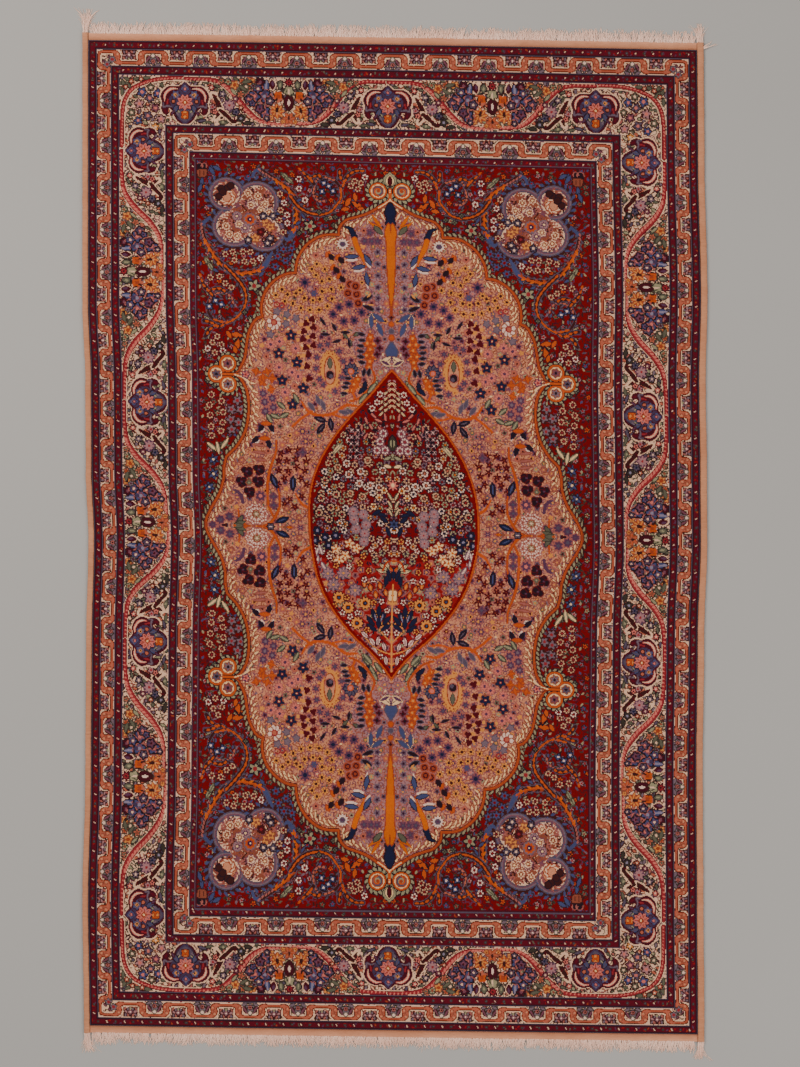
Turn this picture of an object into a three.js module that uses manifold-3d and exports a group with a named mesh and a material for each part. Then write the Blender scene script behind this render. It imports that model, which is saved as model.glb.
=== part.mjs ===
// A hand-knotted Persian rug lying flat on a floor. Millimetres, +Z up, warps along Y.
// The pile slab, the two wrapped side cords and the two flat-woven ends with their
// cut warp fringes are separate solids with a hair of clearance between them.
import * as THREE from "three";
import { mergeVertices } from "three/addons/utils/BufferGeometryUtils.js";
import Module from "manifold-3d";

const wasm = await Module();
wasm.setup();

// ---- driving sizes --------------------------------------------------------------
const PILE_THICKNESS = 8;        // foundation and clipped pile together
const PILE_SHOULDER = 5.4;       // height at which the pile rolls off to its edge
const SHOULDER_WIDTH = 4;        // how far in from the edge the roll-off starts
const WEAR_DEPTH = 0.45;         // highest rise or dip of the walked-on pile
const SELVEDGE_THICKNESS = 6.4;
const KILIM_THICKNESS = 2.8;
const KILIM_LENGTH = 17;         // flat-woven end beyond the last row of knots
const FRINGE_LENGTH = 22;        // cut warps beyond the flat-woven end
const CLEARANCE = 0.3;
const ROOT_DEPTH = 3;            // how far a lock's root runs into its backing
const TUFT_ROOM = 12;            // bare end beside a side cord, where its tuft leans in

const LOCKS_PER_END = 136;

// Heavier warps hanging out of the ends of the side cords, five at each corner, from
// the outermost inwards: how long each is, and how far its tip leans into the rug.
const CORNER_TUFTS = [
  { side: "left", end: "top", lengths: [44, 53, 50, 46, 56], leans: [-3, 0, 3, 8, 17] },
  { side: "left", end: "bottom", lengths: [33, 44, 47, 43, 46], leans: [-8, -2, 5, 12, 22] },
  { side: "right", end: "top", lengths: [22, 29, 36, 33, 45], leans: [-4, 1, 0, 9, 12] },
  { side: "right", end: "bottom", lengths: [23, 27, 25, 43, 27], leans: [-5, -1, 2, 4, 8] },
];

// Outer edges of the side cords at stations along the warp: the rug narrows a little
// at its waist on the left and bellies out on the right.
const SIDE_STATIONS = [
  { along: -1190, left: -697, right: 699 },
  { along: -1100, left: -697.5, right: 698.6 },
  { along: -820, left: -701, right: 696.4 },
  { along: -549, left: -694.5, right: 694.6 },
  { along: -234, left: -692.5, right: 698 },
  { along: -9, left: -687.5, right: 705 },
  { along: 150, left: -693.5, right: 704 },
  { along: 350, left: -694.5, right: 701.5 },
  { along: 531, left: -701, right: 705.4 },
  { along: 860, left: -701, right: 698.6 },
  { along: 1190, left: -700.9, right: 696.4 },
];
const SELVEDGE_WIDTHS = { left: 13.6, right: 15.6 };

// First and last row of knots: both run downhill to the right, because the rug was
// beaten harder on one side of the loom.
const END_ROWS = {
  top: { leftY: 1114.9, rightY: 1092.4, bow: 1.2, outward: 1 },
  bottom: { leftY: -1100.3, rightY: -1120.5, bow: -0.8, outward: -1 },
};
const HALF_WIDTH = 686;          // mean half-width of the knotted part

const PALETTE = {
  pile: { colour: 0x8f3a34, roughness: 0.95 },
  selvedge: { colour: 0xc69a72, roughness: 0.9 },
  warp: { colour: 0xdcc3b0, roughness: 0.92 },
};

// ---- small tools ----------------------------------------------------------------
const mix = (a, b, t) => a + (b - a) * t;
const smooth = (t) => t * t * (3 - 2 * t);

function woolMaterial({ colour, roughness }) {
  return new THREE.MeshStandardMaterial({ color: colour, roughness, metalness: 0 });
}

// A repeatable scatter in -1..1 for the nth lock.
function scatter(n, salt) {
  const s = Math.sin(n * 12.9898 + salt * 78.233) * 43758.5453;
  return 2 * (s - Math.floor(s)) - 1;
}

function outerSide(side, y) {
  const last = SIDE_STATIONS.length - 1;
  const above = SIDE_STATIONS.findIndex((station) => station.along >= y);
  const i = Math.min(Math.max(above, 1), last);
  const [low, high] = [SIDE_STATIONS[i - 1], SIDE_STATIONS[i]];
  const t = THREE.MathUtils.clamp((y - low.along) / (high.along - low.along), 0, 1);
  return mix(low[side], high[side], smooth(t));
}

function pileSide(side, y) {
  const inward = side === "left" ? 1 : -1;
  return outerSide(side, y) + inward * (SELVEDGE_WIDTHS[side] + CLEARANCE);
}

function endRow(end, x) {
  const { leftY, rightY, bow } = END_ROWS[end];
  const across = (x + HALF_WIDTH) / (2 * HALF_WIDTH);
  return mix(leftY, rightY, across) + bow * 4 * across * (1 - across);
}

function closedGeometry(points, faces) {
  const geometry = new THREE.BufferGeometry();
  geometry.setAttribute("position", new THREE.Float32BufferAttribute(points.flat(), 3));
  geometry.setIndex(faces.flat());
  geometry.computeVertexNormals();
  return geometry;
}

function toSolid(geometry) {
  const bare = geometry.clone();
  bare.deleteAttribute("normal");
  bare.deleteAttribute("uv");
  const merged = mergeVertices(bare, 1e-4);
  return new wasm.Manifold(new wasm.Mesh({
    numProp: 3,
    vertProperties: new Float32Array(merged.attributes.position.array),
    triVerts: new Uint32Array(merged.index.array),
  }));
}

function toGeometry(solid) {
  const mesh = solid.getMesh();
  const geometry = new THREE.BufferGeometry();
  geometry.setAttribute("position", new THREE.BufferAttribute(mesh.vertProperties, 3));
  geometry.setIndex(new THREE.BufferAttribute(mesh.triVerts, 1));
  geometry.computeVertexNormals();
  return geometry;
}

function joined(geometries) {
  return toGeometry(wasm.Manifold.union(geometries.map(toSolid)));
}

// A loft through rings of equal point count, closed by flat end caps. Each ring runs
// anticlockwise seen from the far end of the loft, looking back along it.
function loft(rings) {
  const sides = rings[0].length;
  const points = rings.flat();
  const faces = [];
  for (let r = 0; r + 1 < rings.length; r += 1) {
    for (let k = 0; k < sides; k += 1) {
      const a = r * sides + k;
      const b = r * sides + ((k + 1) % sides);
      faces.push([a, b, b + sides], [a, b + sides, a + sides]);
    }
  }
  const far = (rings.length - 1) * sides;
  for (let k = 1; k + 1 < sides; k += 1) {
    faces.push([0, k + 1, k], [far, far + k, far + k + 1]);
  }
  return closedGeometry(points, faces);
}

// ---- the knotted slab -----------------------------------------------------------
function pileHeight(x, y) {
  const broad = Math.sin(x / 190 + 0.6) * Math.sin(y / 260 + 1.1);
  const slanting = Math.sin(x / 83 + y / 140);
  return PILE_THICKNESS + WEAR_DEPTH * (0.6 * broad + 0.4 * slanting);
}

// Grid stations from 0 to 1 with one narrow cell at each rim for the rolled shoulder.
function stations(cells, length) {
  const rim = SHOULDER_WIDTH / length;
  const inner = Array.from({ length: cells + 1 }, (_, i) => mix(rim, 1 - rim, i / cells));
  return [0, ...inner, 1];
}

const ACROSS = stations(12, 2 * HALF_WIDTH);
const ALONG = stations(28, END_ROWS.top.leftY - END_ROWS.bottom.leftY);

// The point of the knotted part at shares s of its width and t of its length.
function pilePoint(s, t) {
  const nearX = mix(-HALF_WIDTH, HALF_WIDTH, s);
  const y = mix(endRow("bottom", nearX), endRow("top", nearX), t);
  return [mix(pileSide("left", y), pileSide("right", y), s), y];
}

function pileSlab() {
  const [across, along] = [ACROSS, ALONG];
  const columns = across.length;
  const points = [];
  along.forEach((t, row) => {
    across.forEach((s, column) => {
      const [x, y] = pilePoint(s, t);
      const onRim = row === 0 || column === 0 || row === along.length - 1 || column === columns - 1;
      points.push([x, y, onRim ? PILE_SHOULDER : pileHeight(x, y)]);
    });
  });
  const faces = [];
  const at = (row, column) => row * columns + column;
  for (let row = 0; row + 1 < along.length; row += 1) {
    for (let column = 0; column + 1 < columns; column += 1) {
      const [a, b] = [at(row, column), at(row, column + 1)];
      const [c, d] = [at(row + 1, column + 1), at(row + 1, column)];
      faces.push([a, b, c], [a, c, d]);
    }
  }
  const rim = [];
  for (let column = 0; column < columns - 1; column += 1) rim.push(at(0, column));
  for (let row = 0; row < along.length - 1; row += 1) rim.push(at(row, columns - 1));
  for (let column = columns - 1; column > 0; column -= 1) rim.push(at(along.length - 1, column));
  for (let row = along.length - 1; row > 0; row -= 1) rim.push(at(row, 0));
  const foot = points.length;
  rim.forEach((top) => points.push([points[top][0], points[top][1], 0]));
  rim.forEach((top, k) => {
    const next = (k + 1) % rim.length;
    faces.push([top, foot + k, foot + next], [top, foot + next, rim[next]]);
  });
  const outline = rim.map((top) => new THREE.Vector2(points[top][0], points[top][1]));
  THREE.ShapeUtils.triangulateShape(outline, []).forEach(([a, b, c]) => {
    faces.push([foot + a, foot + c, foot + b]);
  });
  return closedGeometry(points, faces);
}

// ---- locks of cut warp ----------------------------------------------------------
// A four-sided lock lying level on the floor from its root, tapering and drifting
// sideways to its tip.
function lock({ x, y, outward, length, width, thickness, drift }) {
  const stations = [
    { out: -ROOT_DEPTH, wide: width, high: thickness, aside: 0 },
    { out: 0.5 * length, wide: 0.85 * width, high: 0.85 * thickness, aside: 0.3 * drift },
    { out: length, wide: 0.35 * width, high: 0.5 * thickness, aside: drift },
  ];
  const rings = stations.map(({ out, wide, high, aside }) => {
    const [cx, cy] = [x + aside, y + outward * out];
    const half = (outward * wide) / 2;
    return [[cx + half, cy, 0], [cx - half, cy, 0], [cx - half, cy, high], [cx + half, cy, high]];
  });
  return loft(rings);
}

// ---- side cords -----------------------------------------------------------------
// A flat bundle of warps wrapped in wool: a rounded bar with a flat foot, and the cut
// ends of its heavier warps splayed out past both ends.
function sideCord(side) {
  const inward = side === "left" ? 1 : -1;
  const width = SELVEDGE_WIDTHS[side];
  const lowest = kilimEdge("bottom", inward * -HALF_WIDTH);
  const highest = kilimEdge("top", inward * -HALF_WIDTH);
  const section = [
    { across: 0.08, up: 0 }, { across: 0, up: 0.3 }, { across: 0.07, up: 0.72 },
    { across: 0.26, up: 0.97 }, { across: 0.5, up: 1 }, { across: 0.74, up: 0.97 },
    { across: 0.93, up: 0.72 }, { across: 1, up: 0.3 }, { across: 0.92, up: 0 },
  ];
  const ordered = side === "left" ? section : [...section].reverse();
  const besidePile = ALONG.map((t) => pilePoint(side === "left" ? 0 : 1, t)[1]);
  const rings = [lowest, ...besidePile, highest].map((y) => {
    const outer = outerSide(side, y);
    return ordered.map(({ across, up }) => [
      outer + inward * across * width, y, up * SELVEDGE_THICKNESS,
    ]);
  });
  const pieces = [loft(rings)];
  for (const { end, lengths, leans } of CORNER_TUFTS.filter((tuft) => tuft.side === side)) {
    const y = end === "top" ? highest : lowest;
    lengths.forEach((length, n) => {
      const share = (n + 0.5) / lengths.length;
      pieces.push(lock({
        x: outerSide(side, y) + inward * mix(0.09, 0.91, share) * width,
        y,
        outward: END_ROWS[end].outward,
        length,
        width: 1.9,
        thickness: KILIM_THICKNESS,
        drift: inward * leans[n],
      }));
    });
  }
  return joined(pieces);
}

// ---- flat-woven ends with their fringe ------------------------------------------
function kilimEdge(end, x) {
  return endRow(end, x) + END_ROWS[end].outward * KILIM_LENGTH;
}

function fringedEnd(end) {
  const { outward } = END_ROWS[end];
  const row = outward > 0 ? 1 : 0;
  const rings = ACROSS.map((s) => {
    const [x, lastRow] = pilePoint(s, row);
    const inset = CLEARANCE * (s === 0 ? 1 : s === 1 ? -1 : 0);
    const inner = lastRow + outward * CLEARANCE;
    const outer = lastRow + outward * KILIM_LENGTH;
    const [low, high] = outward > 0 ? [inner, outer] : [outer, inner];
    return [[x + inset, low, 0], [x + inset, high, 0],
      [x + inset, high, KILIM_THICKNESS], [x + inset, low, KILIM_THICKNESS]];
  });
  const pieces = [loft(rings)];
  const from = rings[0][0][0] + TUFT_ROOM;
  const to = rings[rings.length - 1][0][0] - TUFT_ROOM;
  const pitch = (to - from) / LOCKS_PER_END;
  for (let n = 0; n < LOCKS_PER_END; n += 1) {
    const x = from + (n + 0.5) * pitch;
    pieces.push(lock({
      x,
      y: kilimEdge(end, x),
      outward,
      length: FRINGE_LENGTH * (1 + 0.16 * scatter(n, outward) + 0.1 * Math.sin(x / 61)),
      width: 0.62 * pitch,
      thickness: 0.85 * KILIM_THICKNESS,
      drift: 1.1 * scatter(n, 5 + outward),
    }));
  }
  return joined(pieces);
}

// ---- assembly -------------------------------------------------------------------
const rug = new THREE.Group();

function addPiece(name, geometry, finish) {
  const piece = new THREE.Mesh(geometry, woolMaterial(PALETTE[finish]));
  piece.name = name;
  rug.add(piece);
}

addPiece("pile", pileSlab(), "pile");
for (const side of ["left", "right"]) addPiece(`selvedge_${side}`, sideCord(side), "selvedge");
for (const end of ["top", "bottom"]) addPiece(`fringe_${end}`, fringedEnd(end), "warp");

// The origin is the middle of the rug's footprint, on the floor.
const middle = new THREE.Box3().setFromObject(rug).getCenter(new THREE.Vector3());
rug.position.set(-middle.x, -middle.y, 0);

export default rug;
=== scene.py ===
"""Persian rug: knotted wool pile with a medallion, borders, overcast sides and fringes.

The pile is drawn knot for knot as a cartoon (a net of dye numbers), then every run of
knots of one dye becomes a face. All sizes are in millimetres unless a name says otherwise.
"""

import bpy
import numpy as np
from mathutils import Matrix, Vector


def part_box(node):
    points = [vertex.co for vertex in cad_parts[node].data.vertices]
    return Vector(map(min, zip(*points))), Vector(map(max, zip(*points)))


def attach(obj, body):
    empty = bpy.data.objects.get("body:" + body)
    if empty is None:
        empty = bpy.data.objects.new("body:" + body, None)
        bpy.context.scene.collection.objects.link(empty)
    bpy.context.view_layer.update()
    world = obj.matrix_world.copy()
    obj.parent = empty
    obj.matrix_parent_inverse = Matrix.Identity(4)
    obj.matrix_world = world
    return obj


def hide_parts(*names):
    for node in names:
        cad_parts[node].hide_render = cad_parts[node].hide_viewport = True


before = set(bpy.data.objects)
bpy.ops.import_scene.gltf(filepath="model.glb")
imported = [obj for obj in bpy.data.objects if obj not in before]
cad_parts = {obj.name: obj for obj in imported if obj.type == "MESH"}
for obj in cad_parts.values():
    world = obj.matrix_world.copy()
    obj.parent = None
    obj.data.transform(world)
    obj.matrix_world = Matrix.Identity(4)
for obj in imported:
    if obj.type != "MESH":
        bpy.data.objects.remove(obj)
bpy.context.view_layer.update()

MM = 0.001

# ---- dyes -----------------------------------------------------------------------
# Wool colours as they look on the rug (display RGB, 0 to 255).
DYES = {
    "ivory": (228, 182, 150), "cream": (238, 190, 138), "sand": (196, 150, 116), "white": (228, 190, 172),
    "peach": (200, 130, 98), "clay": (136, 68, 50), "blush": (160, 88, 80),
    "lilac": (160, 112, 114), "crimson": (114, 6, 12), "garnet": (92, 12, 28), "wine": (80, 12, 22),
    "ruby": (140, 20, 24), "brown": (60, 24, 24), "ink": (38, 20, 30),
    "navy": (26, 28, 56), "indigo": (66, 50, 76), "blue": (64, 68, 106), "slate": (84, 70, 86),
    "violet": (86, 50, 74), "rust": (150, 60, 34), "flame": (186, 76, 30),
    "orange": (200, 94, 12), "gold": (212, 134, 66), "pink": (204, 108, 96),
    "rose": (142, 38, 44), "salmon": (178, 92, 70), "moss": (58, 50, 42),
    "green": (92, 88, 72), "sage": (146, 136, 106), "sky": (130, 118, 138),
    "mauve": (114, 64, 78), "haze": (114, 92, 102), "maroon": (70, 14, 28),
}
DYE_NUMBER = {name: number for number, name in enumerate(DYES)}

# ---- layout of the cartoon, in squares ------------------------------------------
# One square of the cartoon is 2.25 mm on the rug. Positions are counted outwards from
# the rug's two middle lines: x towards one side, y towards one end.
HALF_ACROSS = 304.75
HALF_ALONG = 492.25
KNOTS_PER_SQUARE = 1.25

# Beating-in wandered: the middle rows lie further along than they should, by their place.
ROW_DRIFT = np.array([(-500, 0), (-380, 0), (-245, 7), (245, 7), (380, 0), (500, 0)], float)

# How much the woven rows slant across the rug, by their place along it, near to far.
ROW_SLANT = np.array([
    (-500, 0.0147), (-492, 0.0147), (-380, 0.0119), (-244, 0.0224), (-114, 0.0450), (5, 0.0353),
    (128, 0.0289), (258, 0.0317), (381, 0.0236), (492, 0.0164), (500, 0.0164),
])

# The rug's middle on the field's rulers, and where the field's own long middle line runs.
RULER_MIDDLE = (394.0, 537.5)
AXIS = 391.0

# Bands from the edge inwards: how wide each is on the sides and at the ends.
BANDS = {
    "outer guard": (8.7, 9.0), "outer meander": (14.0, 16.5), "second guard": (8.3, 9.5),
    "main border": (45.8, 49.5), "third guard": (8.7, 9.0), "inner meander": (15.0, 17.5),
    "inner guard": (8.2, 9.5),
}


class Cartoon:
    """Dye numbers on a net of knots, and where each column and row of knots lies."""

    def __init__(self, x_range, y_range, dye):
        columns = round((x_range[1] - x_range[0]) * KNOTS_PER_SQUARE)
        rows = round((y_range[1] - y_range[0]) * KNOTS_PER_SQUARE)
        self.x = x_range[0] + (np.arange(columns) + 0.5) / KNOTS_PER_SQUARE
        self.y = y_range[0] + (np.arange(rows) + 0.5) / KNOTS_PER_SQUARE
        self.dyes = np.full((rows, columns), DYE_NUMBER[dye], np.uint8)
        self.chance = np.random.default_rng(7)

    def patch(self, x, y, reach):
        """The knots within reach of (x, y), and their distances from it."""
        c0, c1 = np.searchsorted(self.x, [x - reach, x + reach])
        r0, r1 = np.searchsorted(self.y, [y - reach, y + reach])
        across, along = np.meshgrid(self.x[c0:c1] - x, self.y[r0:r1] - y)
        return self.dyes[r0:r1, c0:c1], across, along

    def at(self, x, y):
        """Row and column of the knot at (x, y)."""
        return (min(np.searchsorted(self.y, y), len(self.y) - 1),
                min(np.searchsorted(self.x, x), len(self.x) - 1))


def paint(knots, mask, dye):
    knots[mask] = DYE_NUMBER[dye]


def cosd(degrees):
    return np.cos(np.radians(degrees))


def sind(degrees):
    return np.sin(np.radians(degrees))


def spline(points, closed=False, step=0.5):
    """A Catmull-Rom curve through the points, at even steps."""
    p = np.asarray(points, float)
    p = np.vstack([p[-1:], p, p[:2]]) if closed else np.vstack([2 * p[0] - p[1], p, 2 * p[-1] - p[-2]])
    t = np.linspace(0, 1, 24, endpoint=False)[:, None]
    runs = [0.5 * (2 * b + (c - a) * t + (2 * a - 5 * b + 4 * c - d) * t ** 2
                   + (3 * b - a - 3 * c + d) * t ** 3)
            for a, b, c, d in zip(p[:-3], p[1:-2], p[2:-1], p[3:])]
    curve = np.vstack([*runs, p[-2][None]])
    travelled = np.r_[0, np.cumsum(np.hypot(*np.diff(curve, axis=0).T))]
    even = np.arange(0, travelled[-1], step)
    return np.stack([np.interp(even, travelled, curve[:, k]) for k in (0, 1)], 1)


def spiral(x, y, r_out, r_in, start, sweep):
    """A curve round (x, y) from r_out to r_in, starting at an angle and sweeping."""
    t = np.linspace(0, 1, max(8, int(abs(np.radians(sweep)) * (r_out + r_in))))
    angle = np.radians(start + sweep * t)
    r = r_out + (r_in - r_out) * t
    return np.stack([x + r * np.cos(angle), y + r * np.sin(angle)], 1)


class Brush:
    """Draws in a frame of its own on a cartoon: the frame's origin and the directions of
    its two axes are given in the cartoon's squares."""

    def __init__(self, sheet, origin=(0, 0), first=(1, 0), second=(0, 1)):
        self.sheet = sheet
        self.origin = np.asarray(origin, float)
        self.axes = np.array([first, second], float)

    def place(self, points):
        return self.origin + np.asarray(points, float) @ self.axes

    def heading(self, turn):
        along = np.array([cosd(turn), sind(turn)]) @ self.axes
        return np.degrees(np.arctan2(along[1], along[0]))

    def mirrored(self):
        """The same frame with its first axis the other way."""
        return Brush(self.sheet, self.origin, -self.axes[0], self.axes[1])

    def moved(self, x, y):
        return Brush(self.sheet, self.place((x, y)), *self.axes)

    def local(self, x, y, reach, turn):
        knots, u, v = self.sheet.patch(*self.place((x, y)), reach)
        c, s = cosd(self.heading(turn)), sind(self.heading(turn))
        return knots, u * c + v * s, v * c - u * s

    def disc(self, x, y, r, dye, rim=None):
        knots, u, v = self.local(x, y, r + 2, 0)
        if rim:
            paint(knots, u * u + v * v < (r + 1) ** 2, rim)
        paint(knots, u * u + v * v < r * r, dye)

    def ring(self, x, y, r, width, dye):
        knots, u, v = self.local(x, y, r + width, 0)
        paint(knots, np.abs(np.hypot(u, v) - r) < width / 2, dye)

    def lobes(self, x, y, r, count, depth, dye, turn=0.0, squash=1.0):
        """A disc whose radius dips by depth between its lobes, as the cosine of the angle."""
        knots, u, v = self.local(x, y, r + 1, turn)
        v = v / squash
        edge = r * (1 - depth * (0.5 - 0.5 * np.cos(count * np.arctan2(v, u))))
        paint(knots, np.hypot(u, v) < edge, dye)

    def daisy(self, x, y, r, petals, dye, heart=None, rim=None, turn=0.0, heart_r=0.34, depth=0.5):
        """Petals round a heart, over a rim."""
        if rim:
            self.lobes(x, y, r + 1.0, petals, depth * 0.45, rim, turn)
        self.lobes(x, y, r, petals, depth, dye, turn)
        if heart:
            self.disc(x, y, max(r * heart_r, 0.85), heart)

    def floret(self, x, y, r, dye, heart, count=6, turn=0.0, rim=None):
        """A ring of round petals about a heart, with a little of the rim between them."""
        if rim:
            self.disc(x, y, r + 0.7, rim)
        petal = min(0.8 * np.sin(np.pi / count), 0.42) * 0.72 * r
        for step in range(count):
            angle = np.radians(turn + 360 * step / count)
            self.disc(x + 0.72 * r * np.cos(angle), y + 0.72 * r * np.sin(angle), petal, dye)
        self.disc(x, y, max(0.26 * r, 0.75), heart)

    def leaf(self, x, y, length, width, turn, dye, rim=None, belly=None):
        """A lens: its half width falls with the square of the way to a tip."""
        knots, u, v = self.local(x, y, length / 2 + 2, turn)
        if rim:
            paint(knots, np.abs(v) < (width / 2 + 0.9) * (1 - (2 * u / (length + 2)) ** 2), rim)
        inside = np.abs(v) < width / 2 * (1 - (2 * u / length) ** 2)
        paint(knots, inside, dye)
        if belly:
            paint(knots, inside & (np.abs(v) < width * 0.2), belly)

    def ribbon(self, path, width, dye, where=None):
        """All knots nearer to a path of the cartoon than half the width, which may vary."""
        sheet = self.sheet
        half = np.broadcast_to(np.asarray(width, float) / 2, len(path))
        reach = int(np.ceil(half.max() * KNOTS_PER_SQUARE)) + 1
        offset = np.arange(-reach, reach + 1)
        columns = np.searchsorted(sheet.x, path[:, 0])[:, None, None] + offset[None, None, :]
        rows = np.searchsorted(sheet.y, path[:, 1])[:, None, None] + offset[None, :, None]
        rows, columns = np.broadcast_arrays(rows, columns)
        held = (rows >= 0) & (rows < len(sheet.y)) & (columns >= 0) & (columns < len(sheet.x))
        rows, columns = np.where(held, rows, 0), np.where(held, columns, 0)
        away = np.hypot(sheet.x[columns] - path[:, 0, None, None],
                        sheet.y[rows] - path[:, 1, None, None])
        held &= away < half[:, None, None]
        if where is not None:
            held &= where[rows, columns]
        sheet.dyes[rows[held], columns[held]] = DYE_NUMBER[dye]

    def line(self, points, *layers, closed=False):
        """Ribbons of (width, dye) over one another along a curve, the widest first."""
        path = spline(self.place(points), closed)
        for width, dye in layers:
            if np.ndim(width):
                width = np.interp(np.linspace(0, 1, len(path)), np.linspace(0, 1, len(width)), width)
            self.ribbon(path, width, dye)
        return path

    def scroll(self, x, y, r_out, r_in, start, sweep, *layers):
        path = self.place(spiral(x, y, r_out, r_in, start, sweep))
        for width, dye in layers:
            self.ribbon(path, width, dye)

    def fill(self, points, dye, rim=None, rim_width=1.8, sharp=False):
        """A closed shape: curved through its points, or straight from one to the next."""
        curve = self.place(points) if sharp else spline(self.place(points), closed=True, step=1.0)
        mask = held_by(self.sheet, curve)
        self.sheet.dyes[mask] = DYE_NUMBER[dye]
        if rim:
            self.ribbon(spline(curve, closed=True), rim_width, rim)
        return mask

    def comb(self, path, spacing, offset, length, width, lean, dye, rim=None, start=0.0):
        """Small leaves in a row beside a path of the cartoon, leaning along it."""
        picks = np.arange(int(start * 2), len(path) - 1, max(1, int(spacing * 2)))
        ahead = path[np.minimum(picks + 2, len(path) - 1)] - path[np.maximum(picks - 2, 0)]
        ahead /= np.hypot(*ahead.T)[:, None]
        spots = path[picks] + offset * np.stack([-ahead[:, 1], ahead[:, 0]], 1)
        plain = Brush(self.sheet)
        side = np.sign(offset)
        for (x, y), (dx, dy) in zip(spots, ahead):
            turn = np.degrees(np.arctan2(dy, dx)) + side * lean
            plain.leaf(x, y, length, width, turn, dye, rim)


class Rulers(Brush):
    """Reads the field's rulers, laid on the rug itself: x to the right and y down in
    squares, with the rug's middle at RULER_MIDDLE. Takes out the rows' slant and drift,
    so that x and y are counted from the field's own middle lines."""

    def place(self, points):
        x, y = np.moveaxis(np.asarray(points, float), -1, 0)
        up = RULER_MIDDLE[1] - y
        up = up - np.interp(up, *ROW_SLANT.T) * (RULER_MIDDLE[0] - x)
        true = ROW_DRIFT[:, 0]
        return np.stack([AXIS - x, np.interp(up, true + ROW_DRIFT[:, 1], true)], -1)


def held_by(sheet, curve):
    """Which knots a closed curve holds, by counting the edges to their left."""
    held = np.zeros(sheet.dyes.shape, bool)
    for (x0, y0), (x1, y1) in zip(curve, np.roll(curve, -1, axis=0)):
        r0, r1 = np.searchsorted(sheet.y, sorted((y0, y1)))
        if r0 < r1:
            cross = x0 + (sheet.y[r0:r1] - y0) * (x1 - x0) / (y1 - y0)
            held[r0:r1] ^= sheet.x[None, :] > cross[:, None]
    return held


def sow(sheet, mask, spacing, motif, jitter=0.3, keep=1.0):
    """Sets a motif on a staggered lattice over a mask, each shaken a little."""
    brush = Brush(sheet)
    for n, y in enumerate(np.arange(sheet.y[0], sheet.y[-1], spacing * 0.87)):
        for x in np.arange(sheet.x[0] + (n % 2) * spacing / 2, sheet.x[-1], spacing):
            dx, dy, chance, turn = sheet.chance.uniform(0, 1, 4)
            px, py = x + (2 * dx - 1) * jitter * spacing, y + (2 * dy - 1) * jitter * spacing
            if chance < keep and mask[sheet.at(px, py)]:
                motif(brush, px, py, turn)


# ---- borders --------------------------------------------------------------------
def band_frames(whole, name):
    """The band's four brushes, each with its first axis along the band from its middle and
    its second inwards from the band's outer edge, with the band's width and half length."""
    names = list(BANDS)
    before = [BANDS[other] for other in names[:names.index(name)]]
    side_in, end_in = (sum(widths[k] for widths in before) for k in (0, 1))
    side, end = BANDS[name]
    x, y = HALF_ACROSS - side_in, HALF_ALONG - end_in
    return {
        "right": (Brush(whole, (x, 0), (0, 1), (-1, 0)), side, y),
        "left": (Brush(whole, (-x, 0), (0, 1), (1, 0)), side, y),
        "far": (Brush(whole, (0, y), (1, 0), (0, -1)), end, x),
        "near": (Brush(whole, (0, -y), (1, 0), (0, 1)), end, x),
    }


def band_places(whole, name):
    """For every knot: how far inwards it lies in the band (negative outside it), the
    band's width there, its place along the band and whether it lies on a side."""
    names = list(BANDS)
    before = [BANDS[other] for other in names[:names.index(name)]]
    side_in, end_in = (sum(widths[k] for widths in before) for k in (0, 1))
    side, end = BANDS[name]
    across = (HALF_ACROSS - side_in - np.abs(whole.x))[None, :]
    along = (HALF_ALONG - end_in - np.abs(whole.y))[:, None]
    on_side = across / side < along / end
    depth = np.where(on_side, across, along)
    width = np.where(on_side, side, end)
    place = np.where(on_side, whole.y[:, None], whole.x[None, :])
    held = (depth >= 0) & (depth < width) & (across >= 0) & (along >= 0)
    return held, depth, width, place


def guard_fleck(brush, x, y, turn):
    """A few knots of another dye lot."""
    dye = ("ruby", "brown", "rust", "violet", "ruby", "green")[int(turn * 6)]
    brush.leaf(x, y, 3.2, 1.5, turn * 720, dye)


# The lines along both edges of a guard: how far in each one reaches, and its dye.
GUARD_EDGES = ((2.2, "maroon"), (1.5, "ink"), (0.7, "slate"))
# How far apart the slanting ticks stand, and how far after each one its dots are.
SIDE_TICKS = (26.4, (8.8, 17.6))
END_TICKS = (17.7, (8.85,))
TICK_START = 4.4
TICK_SLANT = 0.5


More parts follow.
